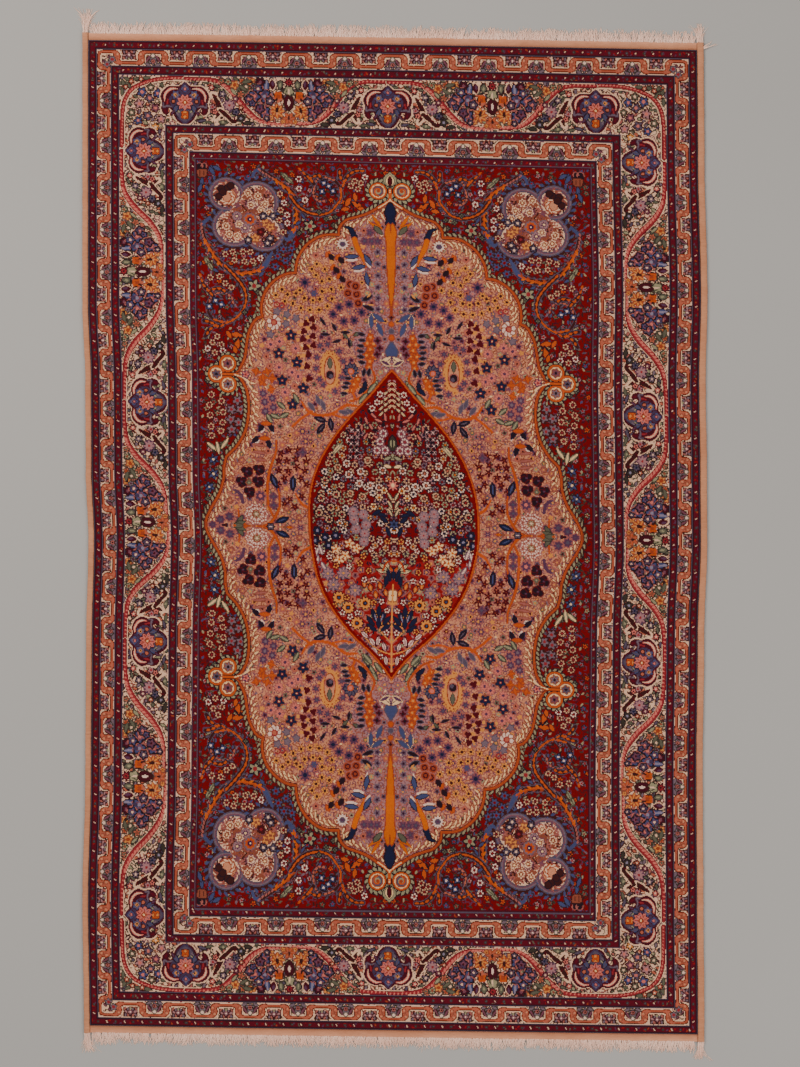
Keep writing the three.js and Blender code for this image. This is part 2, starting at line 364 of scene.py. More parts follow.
def guard(whole, name, inner_line):
    """A dark red stripe edged in dark blue, with pale slanting ticks and dark dots: one
    dot between ticks at the ends, two on the sides."""
    held, depth, width, place = band_places(whole, name)
    paint(whole.dyes, held, "garnet")
    sow(whole, held, 4.6, guard_fleck, jitter=0.4, keep=0.75)
    for reach, dye in GUARD_EDGES:
        paint(whole.dyes, held & ((depth < reach) | (depth > width - reach)), dye)
    on_side = np.broadcast_to((width == BANDS[name][0]) & (place == whole.y[:, None]), held.shape)
    middle = depth - width / 2
    for where, (period, dots) in ((on_side, SIDE_TICKS), (~on_side, END_TICKS)):
        tick = (place + TICK_SLANT * middle + TICK_START) % period
        tick = np.minimum(tick, period - tick)
        paint(whole.dyes, held & where & (np.hypot(tick, middle) < 2.0), "maroon")
        paint(whole.dyes, held & where & (tick < 0.8) & (np.abs(middle) < 1.2), "mauve")
        paint(whole.dyes, held & where & (tick < 0.5) & (np.abs(middle) < 0.9), "ivory")
        for dot in dots:
            from_dot = np.abs((place + TICK_START - dot + period / 2) % period - period / 2)
            paint(whole.dyes, held & where & (np.hypot(from_dot, middle) < 1.5), "moss")
            paint(whole.dyes, held & where & (np.hypot(from_dot, middle) < 0.7), "slate")
    if inner_line:
        paint(whole.dyes, held & (depth > width - 2.6) & (depth < width - 1.5), "slate")
        paint(whole.dyes, held & (depth > width - 1.5), "maroon")


# Across half a turn of the band: its place along and across, and how wide it is there.
BAND_TURN = [(0, .82), (.13, .82), (.2, .81), (.25, .72), (.262, .6), (.25, .46), (.262, .3), (.3, .18),
             (.36, .14), (.43, .14), (.5, .14)]
BAND_WIDTH = np.array([2.0, 2.0, 2.3, 4.0, 5.8, 6.0, 5.8, 4.0, 2.3, 2.0, 2.0])
BAND_LAYERS = ((3.6, "ivory"), (1.3, "brown"), (0.2, "rust"), (-1.2, "salmon"))


# How long a turn and its mirror image are on the sides and at the ends.
MEANDER_SIDE = 46.0
MEANDER_END = 48.0


def meander(whole, name):
    """Ivory, with a salmon band that swells as it turns and a flower in each bay."""
    held = band_places(whole, name)[0]
    paint(whole.dyes, held, "ivory")
    sow(whole, held, 4.8, stem_curl, jitter=0.35)
    runs, bays = [], []
    for where, (brush, wide, half) in band_frames(whole, name).items():
        period = MEANDER_SIDE if where in ("left", "right") else MEANDER_END
        count = round((2 * half - wide) / period)
        period = (2 * half - wide) / count
        path = [(t * period, n * wide) for t, n in BAND_TURN]
        corner = [(half - 0.9 * wide, 0.14 * wide), (half - 0.42 * wide, 0.14 * wide),
                  (half - 0.2 * wide, 0.2 * wide)]
        for n in range(count):
            unit = brush.moved(-half + wide / 2 + (n + 0.5) * period, 0)
            runs += [(side, path, BAND_WIDTH) for side in (unit, unit.mirrored())]
            bays.append((outer_bay, unit, wide))
            if n:
                bays.append((inner_bay, unit.moved(-period / 2, 0), wide))
            for side in (unit, unit.mirrored()):
                bays.append((band_stitches, side.moved(0.262 * period, 0), wide))
        for side in (brush, brush.mirrored()):
            runs.append((side, corner, 2.1))
            if where in ("near", "far"):
                bays.append((corner_bay, side.moved(half, 0), wide))
    for extra, dye in BAND_LAYERS:
        for brush, path, width in runs:
            brush.line(path, (width + extra, dye))
    for draw, unit, wide in bays:
        draw(unit, wide)


def band_stitches(unit, wide):
    """Light stitches where the band crosses over."""
    unit.disc(1.0, 0.66 * wide, 1.1, "peach")
    unit.disc(-1.0, 0.28 * wide, 1.1, "peach")
    unit.scroll(0.8, 0.62 * wide, 1.9, 1.9, -60, -180, (0.9, "clay"))
    unit.scroll(-0.8, 0.32 * wide, 1.9, 1.9, 120, -180, (0.9, "clay"))


def corner_bay(corner, wide):
    """Two bells and a leaf inside the band's corner."""
    for t, d in ((-0.92 * wide, 0.62 * wide), (-0.62 * wide, 0.92 * wide)):
        corner.leaf(t + 3.4, d - 3.0, 6.4, 2.8, 45, "brown", belly="mauve")
        corner.lobes(t, d, 4.4, 5, 0.3, "moss", 90)
        corner.lobes(t, d, 3.5, 5, 0.35, "haze", 90)
        corner.disc(t, d, 1.6, "rose")


def outer_bay(unit, wide):
    """A dark block of small pinkish petals at the band's outer edge."""
    k = wide / 16
    unit.fill([(-7.4, 0.4), (7.4, 0.4), (6.6, 4.8 * k), (7.8, 10.4 * k), (3, 9.2 * k), (0, 10 * k),
               (-3, 9.2 * k), (-7.8, 10.4 * k), (-6.6, 4.8 * k)], "brown", sharp=True)
    leaves = (
        (2.6, 2.2, 3.6, 60, "blush"), (5.0, 2.4, 3.4, 110, "haze"), (4.6, 5.6, 3.8, 20, "lilac"),
        (5.4, 8.4, 3.6, 120, "blush"), (2.4, 8.0, 3.4, 70, "haze"),
    )
    for x, y, length, turn, dye in leaves:
        unit.leaf(x, y * k, length, 1.9, turn, dye)
        unit.leaf(-x, y * k, length, 1.9, 180 - turn, dye)
    unit.lobes(0, 5.2 * k, 2.5, 4, 0.3, "lilac")
    unit.disc(0, 5.2 * k, 1.0, "white", "mauve")
    unit.disc(0, 8.8 * k, 1.1, "sage")


def inner_bay(unit, wide):
    """A bell between two dark leaves at the band's inner edge."""
    k = wide / 16
    for x, turn in ((-5.0, 122), (5.0, 58)):
        unit.leaf(x, 9.0 * k, 9.4, 4.2, turn, "brown", belly="mauve")
    unit.lobes(0, 11.2 * k, 5.2, 5, 0.3, "moss", 90)
    unit.lobes(0, 11.2 * k, 4.2, 5, 0.35, "haze", 90)
    unit.lobes(0, 11.4 * k, 3.0, 6, 0.3, "brown")
    unit.lobes(0, 11.4 * k, 2.1, 6, 0.3, "blush")
    unit.disc(0, 11.4 * k, 0.8, "brown")
    unit.disc(0, 5.8 * k, 1.5, "white", "green")
    for x, turn in ((-5.4, 20), (5.4, -20)):
        unit.leaf(x, 14.4 * k, 6, 2.4, turn, "haze", "moss")


# Where palmettes and flower clusters stand along the main border, from its middle.
SIDE_PALMETTES = (380.5, 121.3, -121.3, -380.0)
SIDE_CLUSTERS = (251.2, -0.5, -250.8)
END_PALMETTES = (-208.0, -5.0, 203.0)
END_CLUSTERS = (-104.0, 99.5)


def main_border(whole):
    """Palmettes and flower clusters on ivory, either side of a waving pink vine."""
    held = band_places(whole, "main border")[0]
    paint(whole.dyes, held, "ivory")
    sow(whole, held, 4.8, stem_curl, jitter=0.35)
    sow(whole, held, 6.0, ground_floret, jitter=0.35, keep=0.9)
    for where, (brush, wide, half) in band_frames(whole, "main border").items():
        on_side = where in ("left", "right")
        palmettes = SIDE_PALMETTES if on_side else END_PALMETTES
        clusters = SIDE_CLUSTERS if on_side else END_CLUSTERS
        for cluster in clusters:
            for palmette in sorted(palmettes, key=lambda other: abs(other - cluster))[:2]:
                gap = abs(palmette - cluster)
                unit = brush.moved(cluster, 0)
                unit = unit if palmette > cluster else unit.mirrored()
                vine(unit, gap, wide)
                beside_palmette(unit.moved(gap, 0).mirrored(), wide)
        for cluster in clusters:
            unit = brush.moved(cluster, 0)
            for side in (unit, unit.mirrored()):
                flower_cluster(side, wide, 1.0 if on_side else 0.92)
        if on_side:
            corner_cell(brush.moved(-half, 0), wide)
            corner_cell(brush.moved(half, 0).mirrored(), wide)
        for palmette in palmettes:
            palmette_flower(brush.moved(palmette, 0), wide, "indigo")


def stem_curl(brush, x, y, turn):
    """A thin curling stem."""
    dye = ("moss", "brown", "clay", "green", "mauve")[int(turn * 5)]
    brush.scroll(x, y, 3.0, 1.5, turn * 360, 260, (1.0, dye))


def ground_floret(brush, x, y, turn):
    """A leaf or bud, outlined, often with a pale middle."""
    dye = ("haze", "sage", "blush", "green", "slate", "salmon", "haze", "green")[int(turn * 8)]
    rim = "moss" if turn < 0.55 else "brown"
    if turn * 24 % 3 < 1:
        brush.disc(x, y, 1.3, dye, rim)
    else:
        brush.leaf(x, y, 5.2, 2.4, turn * 720, dye, rim, belly="ivory" if turn * 16 % 2 < 1 else None)


def vine(unit, gap, wide):
    """From a cluster's inner side over to the outer side of the next palmette."""
    along = [0, .14, .24, .33, .43, .52, .60, .68, .78, .9, 1.0]
    inward = [.935, .935, .91, .82, .62, .37, .2, .1, .06, .05, .05]
    points = [(t * gap, n * wide) for t, n in zip(along, inward)]
    body = [1.0, 1.2, 2.4, 4.0, 5.0, 5.2, 5.0, 4.0, 3.2, 2.8, 2.8]
    path = unit.line(points, (np.add(body, 2.2), "ivory"), (np.add(body, 1.2), "garnet"),
                     (np.maximum(np.subtract(body, 0.2), 1.2), "rose"))
    plain = Brush(unit.sheet)
    cut = int(len(path) * 0.72)
    plain.comb(path[:cut], 4.2, 0.9, 5.0, 2.5, 32, "pink")
    plain.comb(path[cut:], 4.0, 0.7, 3.0, 1.6, 60, "pink")


def palmette_flower(unit, wide, body):
    """A crowned flower with curled horns and hooks, set point outwards."""
    k = wide / 48
    crown = [(0, 5.6), (3, 7.6), (6.4, 10.2), (10, 9.8), (14, 9.8), (18, 11.0), (21.8, 14.4), (24.4, 19.5),
             (23.6, 24), (22.8, 27), (23.8, 31.5), (22.2, 36.6), (18.8, 38.8), (16.2, 36.8), (17.0, 33.4),
             (15.4, 32), (13.2, 34), (11.4, 38.4), (8.4, 43.6), (4.6, 46.6), (0, 47.4)]
    crown = [(t, d * k) for t, d in crown]
    shape = crown + [(-t, d) for t, d in crown[-2:0:-1]]
    unit.fill([(t * 1.06, (d - 26 * k) * 1.05 + 26 * k) for t, d in shape], "ivory")
    unit.fill(shape, "maroon")
    for side in (unit, unit.mirrored()):
        side.line([(7.6, 12.6 * k), (13, 12.6 * k), (17.8, 15.4 * k), (20.2, 19.6 * k), (20.2, 25 * k)],
                  ((1.0, 2.7, 2.8, 2.6, 1.0), "pink"), ((0.4, 1.2, 1.1, 1.4, 0.5), "ivory"))
        side.fill([(0, 8.2 * k), (4, 10.6 * k), (8, 15 * k), (12.6, 17.6 * k), (15.4, 21 * k),
                   (15.2, 26 * k), (12.6, 31 * k), (10.4, 36 * k), (7.6, 41.4 * k), (4, 44.4 * k),
                   (0, 45 * k)], body)
        side.line([(13.4, 30.4 * k), (17.6, 29.6 * k), (21.4, 30.6 * k), (21.6, 26.6 * k)],
                  ((1.5, 2.0, 2.4, 1.2), "slate"), ((0.5, 0.8, 0.9, 0.4), "haze"))
        side.leaf(17.4, 25.6 * k, 6.4, 3.6, 80, "garnet", belly="rose")
        side.lobes(9.0, 18.8 * k, 5.6, 6, 0.2, "maroon")
        side.lobes(9.0, 18.8 * k, 4.9, 6, 0.35, "blue")
        side.ring(9.0, 18.8 * k, 2.6, 0.9, "haze")
        side.lobes(9.4, 18.6 * k, 2.0, 4, 0.3, "gold")
        side.disc(9.0, 18.8 * k, 0.8, "brown")
        side.disc(11.6, 25.2 * k, 1.5, "salmon", "brown")
        side.leaf(9.4, 32.6 * k, 8.6, 4.0, 68, "blue", "ink", belly="slate")
        side.leaf(6.4, 38.4 * k, 7.4, 3.2, 125, "slate", "ink", belly="haze")
        side.leaf(5.8, 35.4 * k, 5.6, 1.5, 130, "sage")
        side.leaf(12.4, 36.4 * k, 5, 1.6, 60, "violet", "maroon")
        side.leaf(19.4, 35.2 * k, 5, 2.2, 110, "garnet")
    unit.lobes(0, 12.4 * k, 5.0, 4, 0.25, "maroon")
    unit.lobes(0, 12.4 * k, 4.3, 4, 0.3, "blue")
    unit.lobes(0, 11.8 * k, 2.6, 4, 0.3, "haze")
    unit.disc(0, 12.8 * k, 1.1, "pink", "violet")
    unit.lobes(0, 38.6 * k, 6.6, 5, 0.12, "slate", 90)
    unit.lobes(0, 38.2 * k, 5.2, 4, 0.25, "brown", 45)
    unit.lobes(0, 38.2 * k, 4.5, 4, 0.3, "flame", 45)
    unit.leaf(0, 35.6 * k, 4, 1.4, 0, "gold", "rust")
    unit.disc(0, 40.2 * k, 1.3, "gold", "rust")
    unit.lobes(0, 26 * k, 8.4, 9, 0.2, "maroon", 90)
    for turn in range(90, 450, 40):
        x, y = 5.0 * cosd(turn), 5.0 * sind(turn)
        dyes = ("rose", "salmon") if 200 < turn < 340 else ("lilac", "rose")
        unit.leaf(x, 26 * k + y, 6.6, 3.6, turn, "pink")
        unit.leaf(x, 26 * k + y, 3.8, 1.7, turn, dyes[0], belly=dyes[1])
    unit.lobes(0, 26 * k, 3.2, 4, 0.4, "rust")
    unit.disc(0, 26 * k, 1.1, "cream")


def beside_palmette(side, wide):
    """The dark branch, leaves and rosettes between a palmette and the vine."""
    k = wide / 48
    side.line([(28, 17.6 * k), (30.6, 22 * k), (33.4, 27 * k), (35.6, 32 * k), (33.4, 37 * k), (31, 41 * k)],
              (6.6, "ivory"), ((2.0, 4.0, 5.2, 4.4, 3.4, 1.4), "brown"))
    side.line([(27.6, 22 * k), (30, 28 * k), (31.6, 33 * k), (30.6, 37 * k)],
              ((0.8, 1.8, 1.8, 0.8), "salmon"))
    side.line([(35, 33 * k), (41, 37.6 * k), (46, 42.4 * k), (50, 44 * k), (53.6, 41 * k)],
              (6.0, "ivory"), ((3.4, 4.8, 3.4, 4.4, 1.8), "brown"))
    wine_leaves = (
        (30, 19, 10), (34, 26, 120), (38.4, 34, 160), (44, 39, 20), (33, 36, 60), (50, 42, 80),
    )
    for t, d, turn in wine_leaves:
        side.leaf(t, d * k, 5, 1.8, turn, "wine")
    side.daisy(44.4, 28 * k, 5.6, 8, "lilac", "rose", "violet", heart_r=0.22, depth=0.42)
    side.daisy(37.6, 17 * k, 3.2, 5, "haze", "ivory", "ink")
    side.daisy(27.6, 30 * k, 3.4, 5, "lilac", "rose", "maroon")
    side.daisy(30, 34.6 * k, 2.8, 5, "pink", "maroon", "brown")
    side.daisy(26.6, 11 * k, 2.6, 5, "pink", "ivory", "maroon")
    side.leaf(38, 45 * k, 9, 3.4, 8, "green", "moss")
    side.disc(38, 44.4 * k, 1.3, "sage")
    side.daisy(51, 34.4 * k, 3.6, 5, "slate", "navy", "ink")
    side.daisy(56, 40.6 * k, 3.8, 5, "moss", "sky", "ink")
    side.leaf(63, 45 * k, 9, 3.4, -8, "moss", "ink")
    side.leaf(17, 43.6 * k, 9, 2.4, -14, "slate", "ink")
    side.leaf(24, 45 * k, 8, 2.2, 10, "green", "moss")
    side.daisy(50.6, 21.6 * k, 2.6, 5, "mauve", "ivory", "maroon")
    side.daisy(56, 30 * k, 2.2, 5, "salmon", "ivory", "brown")
    side.leaf(33, 9.6 * k, 6, 2.2, 14, "green", "ink")
    side.leaf(42, 21 * k, 5, 2.0, 60, "green", "ink")


def flower_cluster(side, wide, squeeze):
    """Half of a bunch of flowers that stands on the vine, from its middle outwards."""
    k, s = wide / 48, squeeze
    side.line([(2, 12 * k), (12 * s, 12 * k), (24 * s, 13 * k), (40 * s, 12 * k), (58 * s, 7 * k)],
              (1.0, "moss"))
    side.line([(4, 27 * k), (18 * s, 27 * k), (32 * s, 26 * k), (46 * s, 17 * k), (64 * s, 8 * k)],
              (1.0, "green"))
    side.line([(20 * s, 13 * k), (24 * s, 22 * k), (26 * s, 33 * k)], (1.0, "moss"))
    side.lobes(0, 4.6 * k, 6.2, 7, 0.3, "ivory")
    side.lobes(0, 4.6 * k, 5.4, 7, 0.35, "maroon")
    side.lobes(0, 4.6 * k, 3.2, 7, 0.4, "rose")
    side.disc(0, 4.6 * k, 1.1, "brown")
    side.leaf(9.4 * s, 7 * k, 9, 5.4, 84, "green", "ink")
    side.leaf(9.4 * s, 7.4 * k, 5, 2.0, 84, "sage")
    side.leaf(18 * s, 7 * k, 11, 6.0, 96, "maroon", "ivory")
    side.leaf(17.4 * s, 6 * k, 6, 2.6, 96, "violet")
    side.leaf(24.6 * s, 8.6 * k, 13, 5.4, 84, "blue", "ink", belly="sky")
    side.daisy(31 * s, 4.8 * k, 4.6, 6, "maroon", "mauve", "ink")
    side.lobes(0, 13 * k, 6.0, 5, 0.2, "moss", 90)
    side.lobes(0, 13 * k, 5.0, 5, 0.25, "sage", 90)
    side.leaf(0, 14 * k, 8, 1.6, 90, "ivory")
    side.leaf(2.6, 14 * k, 6, 1.2, 70, "moss")
    side.lobes(11.5 * s, 19 * k, 5.6, 4, 0.15, "brown", 45)
    side.lobes(11.5 * s, 20.4 * k, 4.6, 5, 0.3, "salmon", 90)
    side.lobes(11.5 * s, 17.4 * k, 4.6, 4, 0.3, "flame", 45)
    side.lobes(11.5 * s, 18.4 * k, 2.4, 4, 0.3, "rust", 45)
    side.leaf(13.4 * s, 21.6 * k, 4.6, 2.0, 80, "brown")
    side.fill([(0, 17.6 * k), (3.4, 19 * k), (4.6, 22 * k), (4.4, 27 * k), (3, 30 * k), (0, 31.4 * k)],
              "maroon", "brown", 1.4)
    side.leaf(0, 24.4 * k, 7.6, 2.8, 90, "white")
    side.lobes(13 * s, 33 * k, 7.8, 7, 0.2, "ivory", 90)
    for turn in range(0, 360, 45):
        c, d = cosd(turn), sind(turn)
        side.leaf(13 * s + 4.4 * c, 33 * k + 4.4 * d, 6.2, 3.0, turn + 12, "flame", "clay", belly="gold")
    side.leaf(13 * s, 32 * k, 8, 3.2, 84, "brown")
    side.disc(13 * s, 35.4 * k, 1.1, "peach")
    side.lobes(0, 40 * k, 6.4, 6, 0.2, "ivory")
    for turn in range(0, 360, 60):
        c, d = cosd(turn), sind(turn)
        side.leaf(3.6 * c, 40 * k + 3.6 * d, 5.2, 2.8, turn + 12, "flame", "clay", belly="salmon")
    side.leaf(0, 39 * k, 5, 2.2, 90, "brown")
    side.daisy(19.6 * s, 39.4 * k, 3.0, 5, "gold", "rust", "clay")
    side.daisy(6.6 * s, 43 * k, 2.2, 5, "gold", "rust", "clay")
    blush_rosettes = (
        (26.6, 18.4, 6.0, "blue", "sky", 10), (20.6, 23, 4.0, "slate", "ivory", 40),
        (37.4, 18.6, 5.8, "blue", "pink", 30), (27, 33.6, 5.8, "blue", "pink", 0),
        (31.6, 31, 4.4, "violet", "maroon", 20), (43.6, 21.6, 4.4, "slate", "pink", 60),
        (33.6, 11.4, 4.2, "blue", "ivory", 15), (24, 40, 2.6, "slate", "ivory", 15),
        (39.6, 25.6, 3.0, "blue", "navy", 50),
    )
    for t, d, r, dye, heart, turn in blush_rosettes:
        side.lobes(t * s, d * k, r + 1.8, 6, 0.15, "blush", turn)
        side.lobes(t * s, d * k, r + 1.3, 5, 0.2, "ink", turn)
        side.lobes(t * s, d * k, r, 5, 0.42, dye, turn)
        side.lobes(t * s, d * k, r * 0.62, 5, 0.3, "violet" if dye == "slate" else "mauve", turn)
        side.leaf(t * s, d * k - r * 0.5, r * 1.5, r * 0.55, turn + 60, "indigo")
        side.disc(t * s, d * k, max(r * 0.28, 0.9), heart)
    daisies = (
        (41, 4.6, 4.0, "gold", "brown"), (51, 4.2, 3.0, "salmon", "rust"), (59, 8, 4.2, "gold", "rust"),
        (52.6, 17, 3.4, "salmon", "clay"), (46.4, 9.6, 3.0, "green", "ivory"),
        (66, 5, 3.0, "sage", "clay"), (73, 4.2, 2.6, "salmon", "green"),
        (38.6, 8.6, 2.6, "haze", "maroon"),
    )
    for t, d, r, dye, heart in daisies:
        side.daisy(t * s, d * k, r, 5, dye, heart, "clay" if dye == "gold" else "moss", turn=t * 9,
                   heart_r=0.46)
    side.leaf(46 * s, 4.4 * k, 10, 3.0, 14, "green", "moss")
    side.leaf(50 * s, 11 * k, 10, 2.8, -34, "green", "moss")
    side.leaf(60 * s, 14.6 * k, 8, 2.6, -50, "sage", "moss")


def corner_cell(unit, wide):
    """The vine round a corner, with sprigs outside it and small flowers inside."""
    path = unit.line([(1.8, 70), (2.0, 56), (2.8, 45), (4.4, 35), (7.4, 25), (13, 14), (22, 7), (34, 3.6),
                      (52, 2.6), (72, 2.4)], (6.6, "ivory"), (4.4, "wine"), (3.0, "rose"))
    Brush(unit.sheet).comb(path, 3.6, 0.4, 3.0, 1.4, 25, "pink")
    green_leaves = (
        (4, 8, 60), (8, 4, 20), (3.6, 18, 100), (17, 3, 0), (2.6, 27, 95), (10, 9, 45),
    )
    for t, d, turn in green_leaves:
        unit.leaf(t, d, 8, 2.8, turn, "green", "moss")
    for t, d in ((6, 12), (12, 6.4), (4, 22)):
        unit.daisy(t, d, 2.4, 5, "salmon", "ivory", "brown")
    ivory_rosettes = (
        (17, 24, "blue", 4.6), (23, 32, "slate", 4.2), (29, 21, "lilac", 4.4), (18, 40, "blue", 4.0),
        (33, 38, "mauve", 3.8), (28, 45, "green", 3.0), (41, 30, "slate", 4.2), (12, 33, "green", 3.4),
        (44, 44, "lilac", 3.8), (38, 13, "green", 3.4), (46, 20, "blue", 3.6), (52, 38, "gold", 3.0),
    )
    for t, d, dye, r in ivory_rosettes:
        unit.lobes(t, d * wide / 48, r + 1.8, 5, 0.2, "ivory", t * 9)
        unit.daisy(t, d * wide / 48, r + 0.5, 5, dye, "ivory" if dye in ("green", "gold") else "pink",
                   "brown",
                   turn=t * 9)


# ---- field ----------------------------------------------------------------------
# The field is drawn on its own sheet, one quarter of it, from the draw.
FIELD_HALF_ACROSS = 196.0
FIELD_HALF_ALONG = 371.7

# The medallion's scalloped edge, one curve a scallop, from the far tip to the side tip.
SCALLOPS = [
    [(AXIS, 199), (388, 202), (370.5, 212.4), (357, 217), (347, 220), (340.4, 227), (339.3, 234.7)],
    [(339.3, 234.7), (328, 234.7), (319, 237), (310, 242.5), (303.6, 249), (298.5, 258),
     (296.3, 267), (295.8, 272.7)],
    [(295.8, 272.7), (286.8, 273.8), (278, 278), (271, 284), (265.6, 291.7), (262.3, 301.7),
     (261.7, 310.6), (262.8, 316.2)],
    [(262.8, 316.2), (255.6, 319.6), (248.8, 331.5), (246, 344.4), (243.8, 357.3), (238.8, 367.4),
     (233, 373.8)],
    [(233, 373.8), (238.8, 377.4), (245.2, 388.9), (247.4, 403.2), (246.7, 417.6), (243, 432),
     (234.5, 446.3), (224.4, 456.3)],
    [(224.4, 456.3), (222.3, 466.4), (221.6, 477.8), (217.3, 492.2), (208.7, 506.5), (202.9, 518),
     (202.2, 526.6), (202.2, 540)],
]


def red_field(field, draw):
    """Crimson ground with small florets, spiralling arabesques and a roundel."""
    everywhere = np.ones(field.dyes.shape, bool)
    sow(field, everywhere, 7.0, red_curl, jitter=0.35)
    sow(field, everywhere, 5.4, red_speck, jitter=0.4, keep=0.85)
    sow(field, everywhere, 12.0, red_floret, jitter=0.3, keep=0.8)
    arabesques(draw)
    roundel(draw)
    ruby_florets = (
        (281, 194), (285, 203), (281.5, 210), (288, 215), (280, 220), (288, 223), (284, 232), (226, 254),
        (233.5, 251.5), (243.6, 251.5), (251, 252), (235, 260), (245, 261), (253.6, 261), (261, 258),
        (300, 179), (300, 188.5), (306, 200), (211, 277), (220, 276), (226, 283), (232, 287), (366, 177),
        (362, 183), (356, 181), (359, 189), (352, 186), (217, 336), (212, 342), (221, 344), (207, 348),
        (222, 350), (214, 352),
    )
    for x, y in ruby_florets:
        draw.floret(x, y, 3.2, "sand" if x % 3 else "white", "ruby", 6, turn=x * 17, rim="maroon")
    blue_daisies = (
        (278, 256), (286, 260.5), (292, 248), (284, 249), (276, 266.6), (293, 257),
    )
    for x, y in blue_daisies:
        draw.daisy(x, y, 4.4, 6, "blue", "crimson", "brown", turn=x * 13)
    more_blue_daisies = (
        (325, 183), (323, 191.5), (334, 191), (330, 186), (210, 306), (222, 304), (216, 300),
    )
    for x, y in more_blue_daisies:
        draw.daisy(x, y, 3.4, 4, "blue", "white", "ink", turn=y * 11)
    for x, y in ((310.5, 226), (254.7, 285.6)):
        draw.daisy(x, y, 6.4, 5, "sage", "rose", "ink", heart_r=0.35, depth=0.6)
    for x, y, turn in ((286, 176, 40), (290, 180, 40), (208, 261, 60), (211, 266, 60)):
        draw.leaf(x, y, 11, 3.6, turn, "sage", "moss", belly="green")
    green_daisies = (
        (327, 219), (334, 225), (328, 231), (336, 217), (337, 232), (320, 212), (318, 234), (302, 241),
        (300, 233), (245, 312), (250, 318), (258, 292), (262, 300), (247, 325),
    )
    for x, y in green_daisies:
        draw.daisy(x, y, 2.4, 4, "green", "moss", "ink")
    creature(draw, 353, 204, 0)
    creature(draw, 236, 339, 70)
    sand_florets = (
        (210, 394), (208, 404.4), (208.7, 414.7), (209.4, 426), (210, 435), (220, 400.6), (221.6, 411.8),
        (221, 422), (219.4, 430.5),
    )
    for x, y in sand_florets:
        draw.floret(x, y, 3.6, "sand", "rose", 7, turn=x * 17, rim="wine")
        draw.ring(x, y, 1.5, 0.9, "wine")
    for x, y in ((236, 400), (230, 409), (239, 409), (229.5, 419), (237, 422), (230, 429)):
        draw.daisy(x, y, 4.6, 5, "haze", "rose", "brown", turn=y * 31)
    for x, y, turn in ((210, 446, 40), (223, 443, -55), (216, 447, 80)):
        draw.leaf(x, y, 13, 3.8, turn, "sage", "moss", belly="cream")
    for x, y in ((211.5, 459), (211.5, 473.5), (207, 486.5)):
        for turn in (20, 80, 140):
            draw.leaf(x, y, 11, 3.4, turn, "blue", "ink")
        draw.disc(x, y, 1.2, "cream")
    for x, y in ((206, 380), (213, 385), (222, 388), (205, 498), (203, 507), (212, 495)):
        draw.daisy(x, y, 2.6, 4, "green", "moss", "ink")


def red_speck(brush, x, y, turn):
    """A leaf, bud or dot of the red ground's fine scrolls."""
    dye = ("moss", "sage", "slate", "brown", "green", "blue", "maroon", "haze", "brown")[int(turn * 9)]
    brush.leaf(x, y, 4.6, 2.0, turn * 720, dye)


def red_curl(brush, x, y, turn):
    """A thin dark tendril."""
    brush.scroll(x, y, 3.2, 1.6, turn * 360, 220, (0.9, ("wine", "maroon", "violet",
                                                         "brown")[int(turn * 4)]))


def red_floret(brush, x, y, turn):
    """A small open flower with a dark outline."""
    dye = ("sage", "haze", "green", "blue", "lilac", "flame")[int(turn * 6)]
    brush.daisy(x, y, 2.6, 5, dye, "ruby", "brown", turn=turn * 90, heart_r=0.4)


def creature(draw, x, y, turn):
    """A branch of orange leaves with dark spots, curled like a running animal."""
    s, c = sind(turn), cosd(turn)
    flame_leaves = (
        (-4, -2, 11, 5, 120), (5, 1, 12, 5, 30), (-7, 5, 9, 4, 170), (3, -7, 9, 4, 80), (9, 5, 8, 4, 10),
    )
    for dx, dy, length, width, lean in flame_leaves:
        draw.leaf(x + dx * c - dy * s, y + dx * s + dy * c, length, width, lean + turn, "flame", "brown")
    draw.leaf(x, y, 9, 2.4, 60 + turn, "ink")
    draw.disc(x + 5, y - 1, 1.2, "ink")


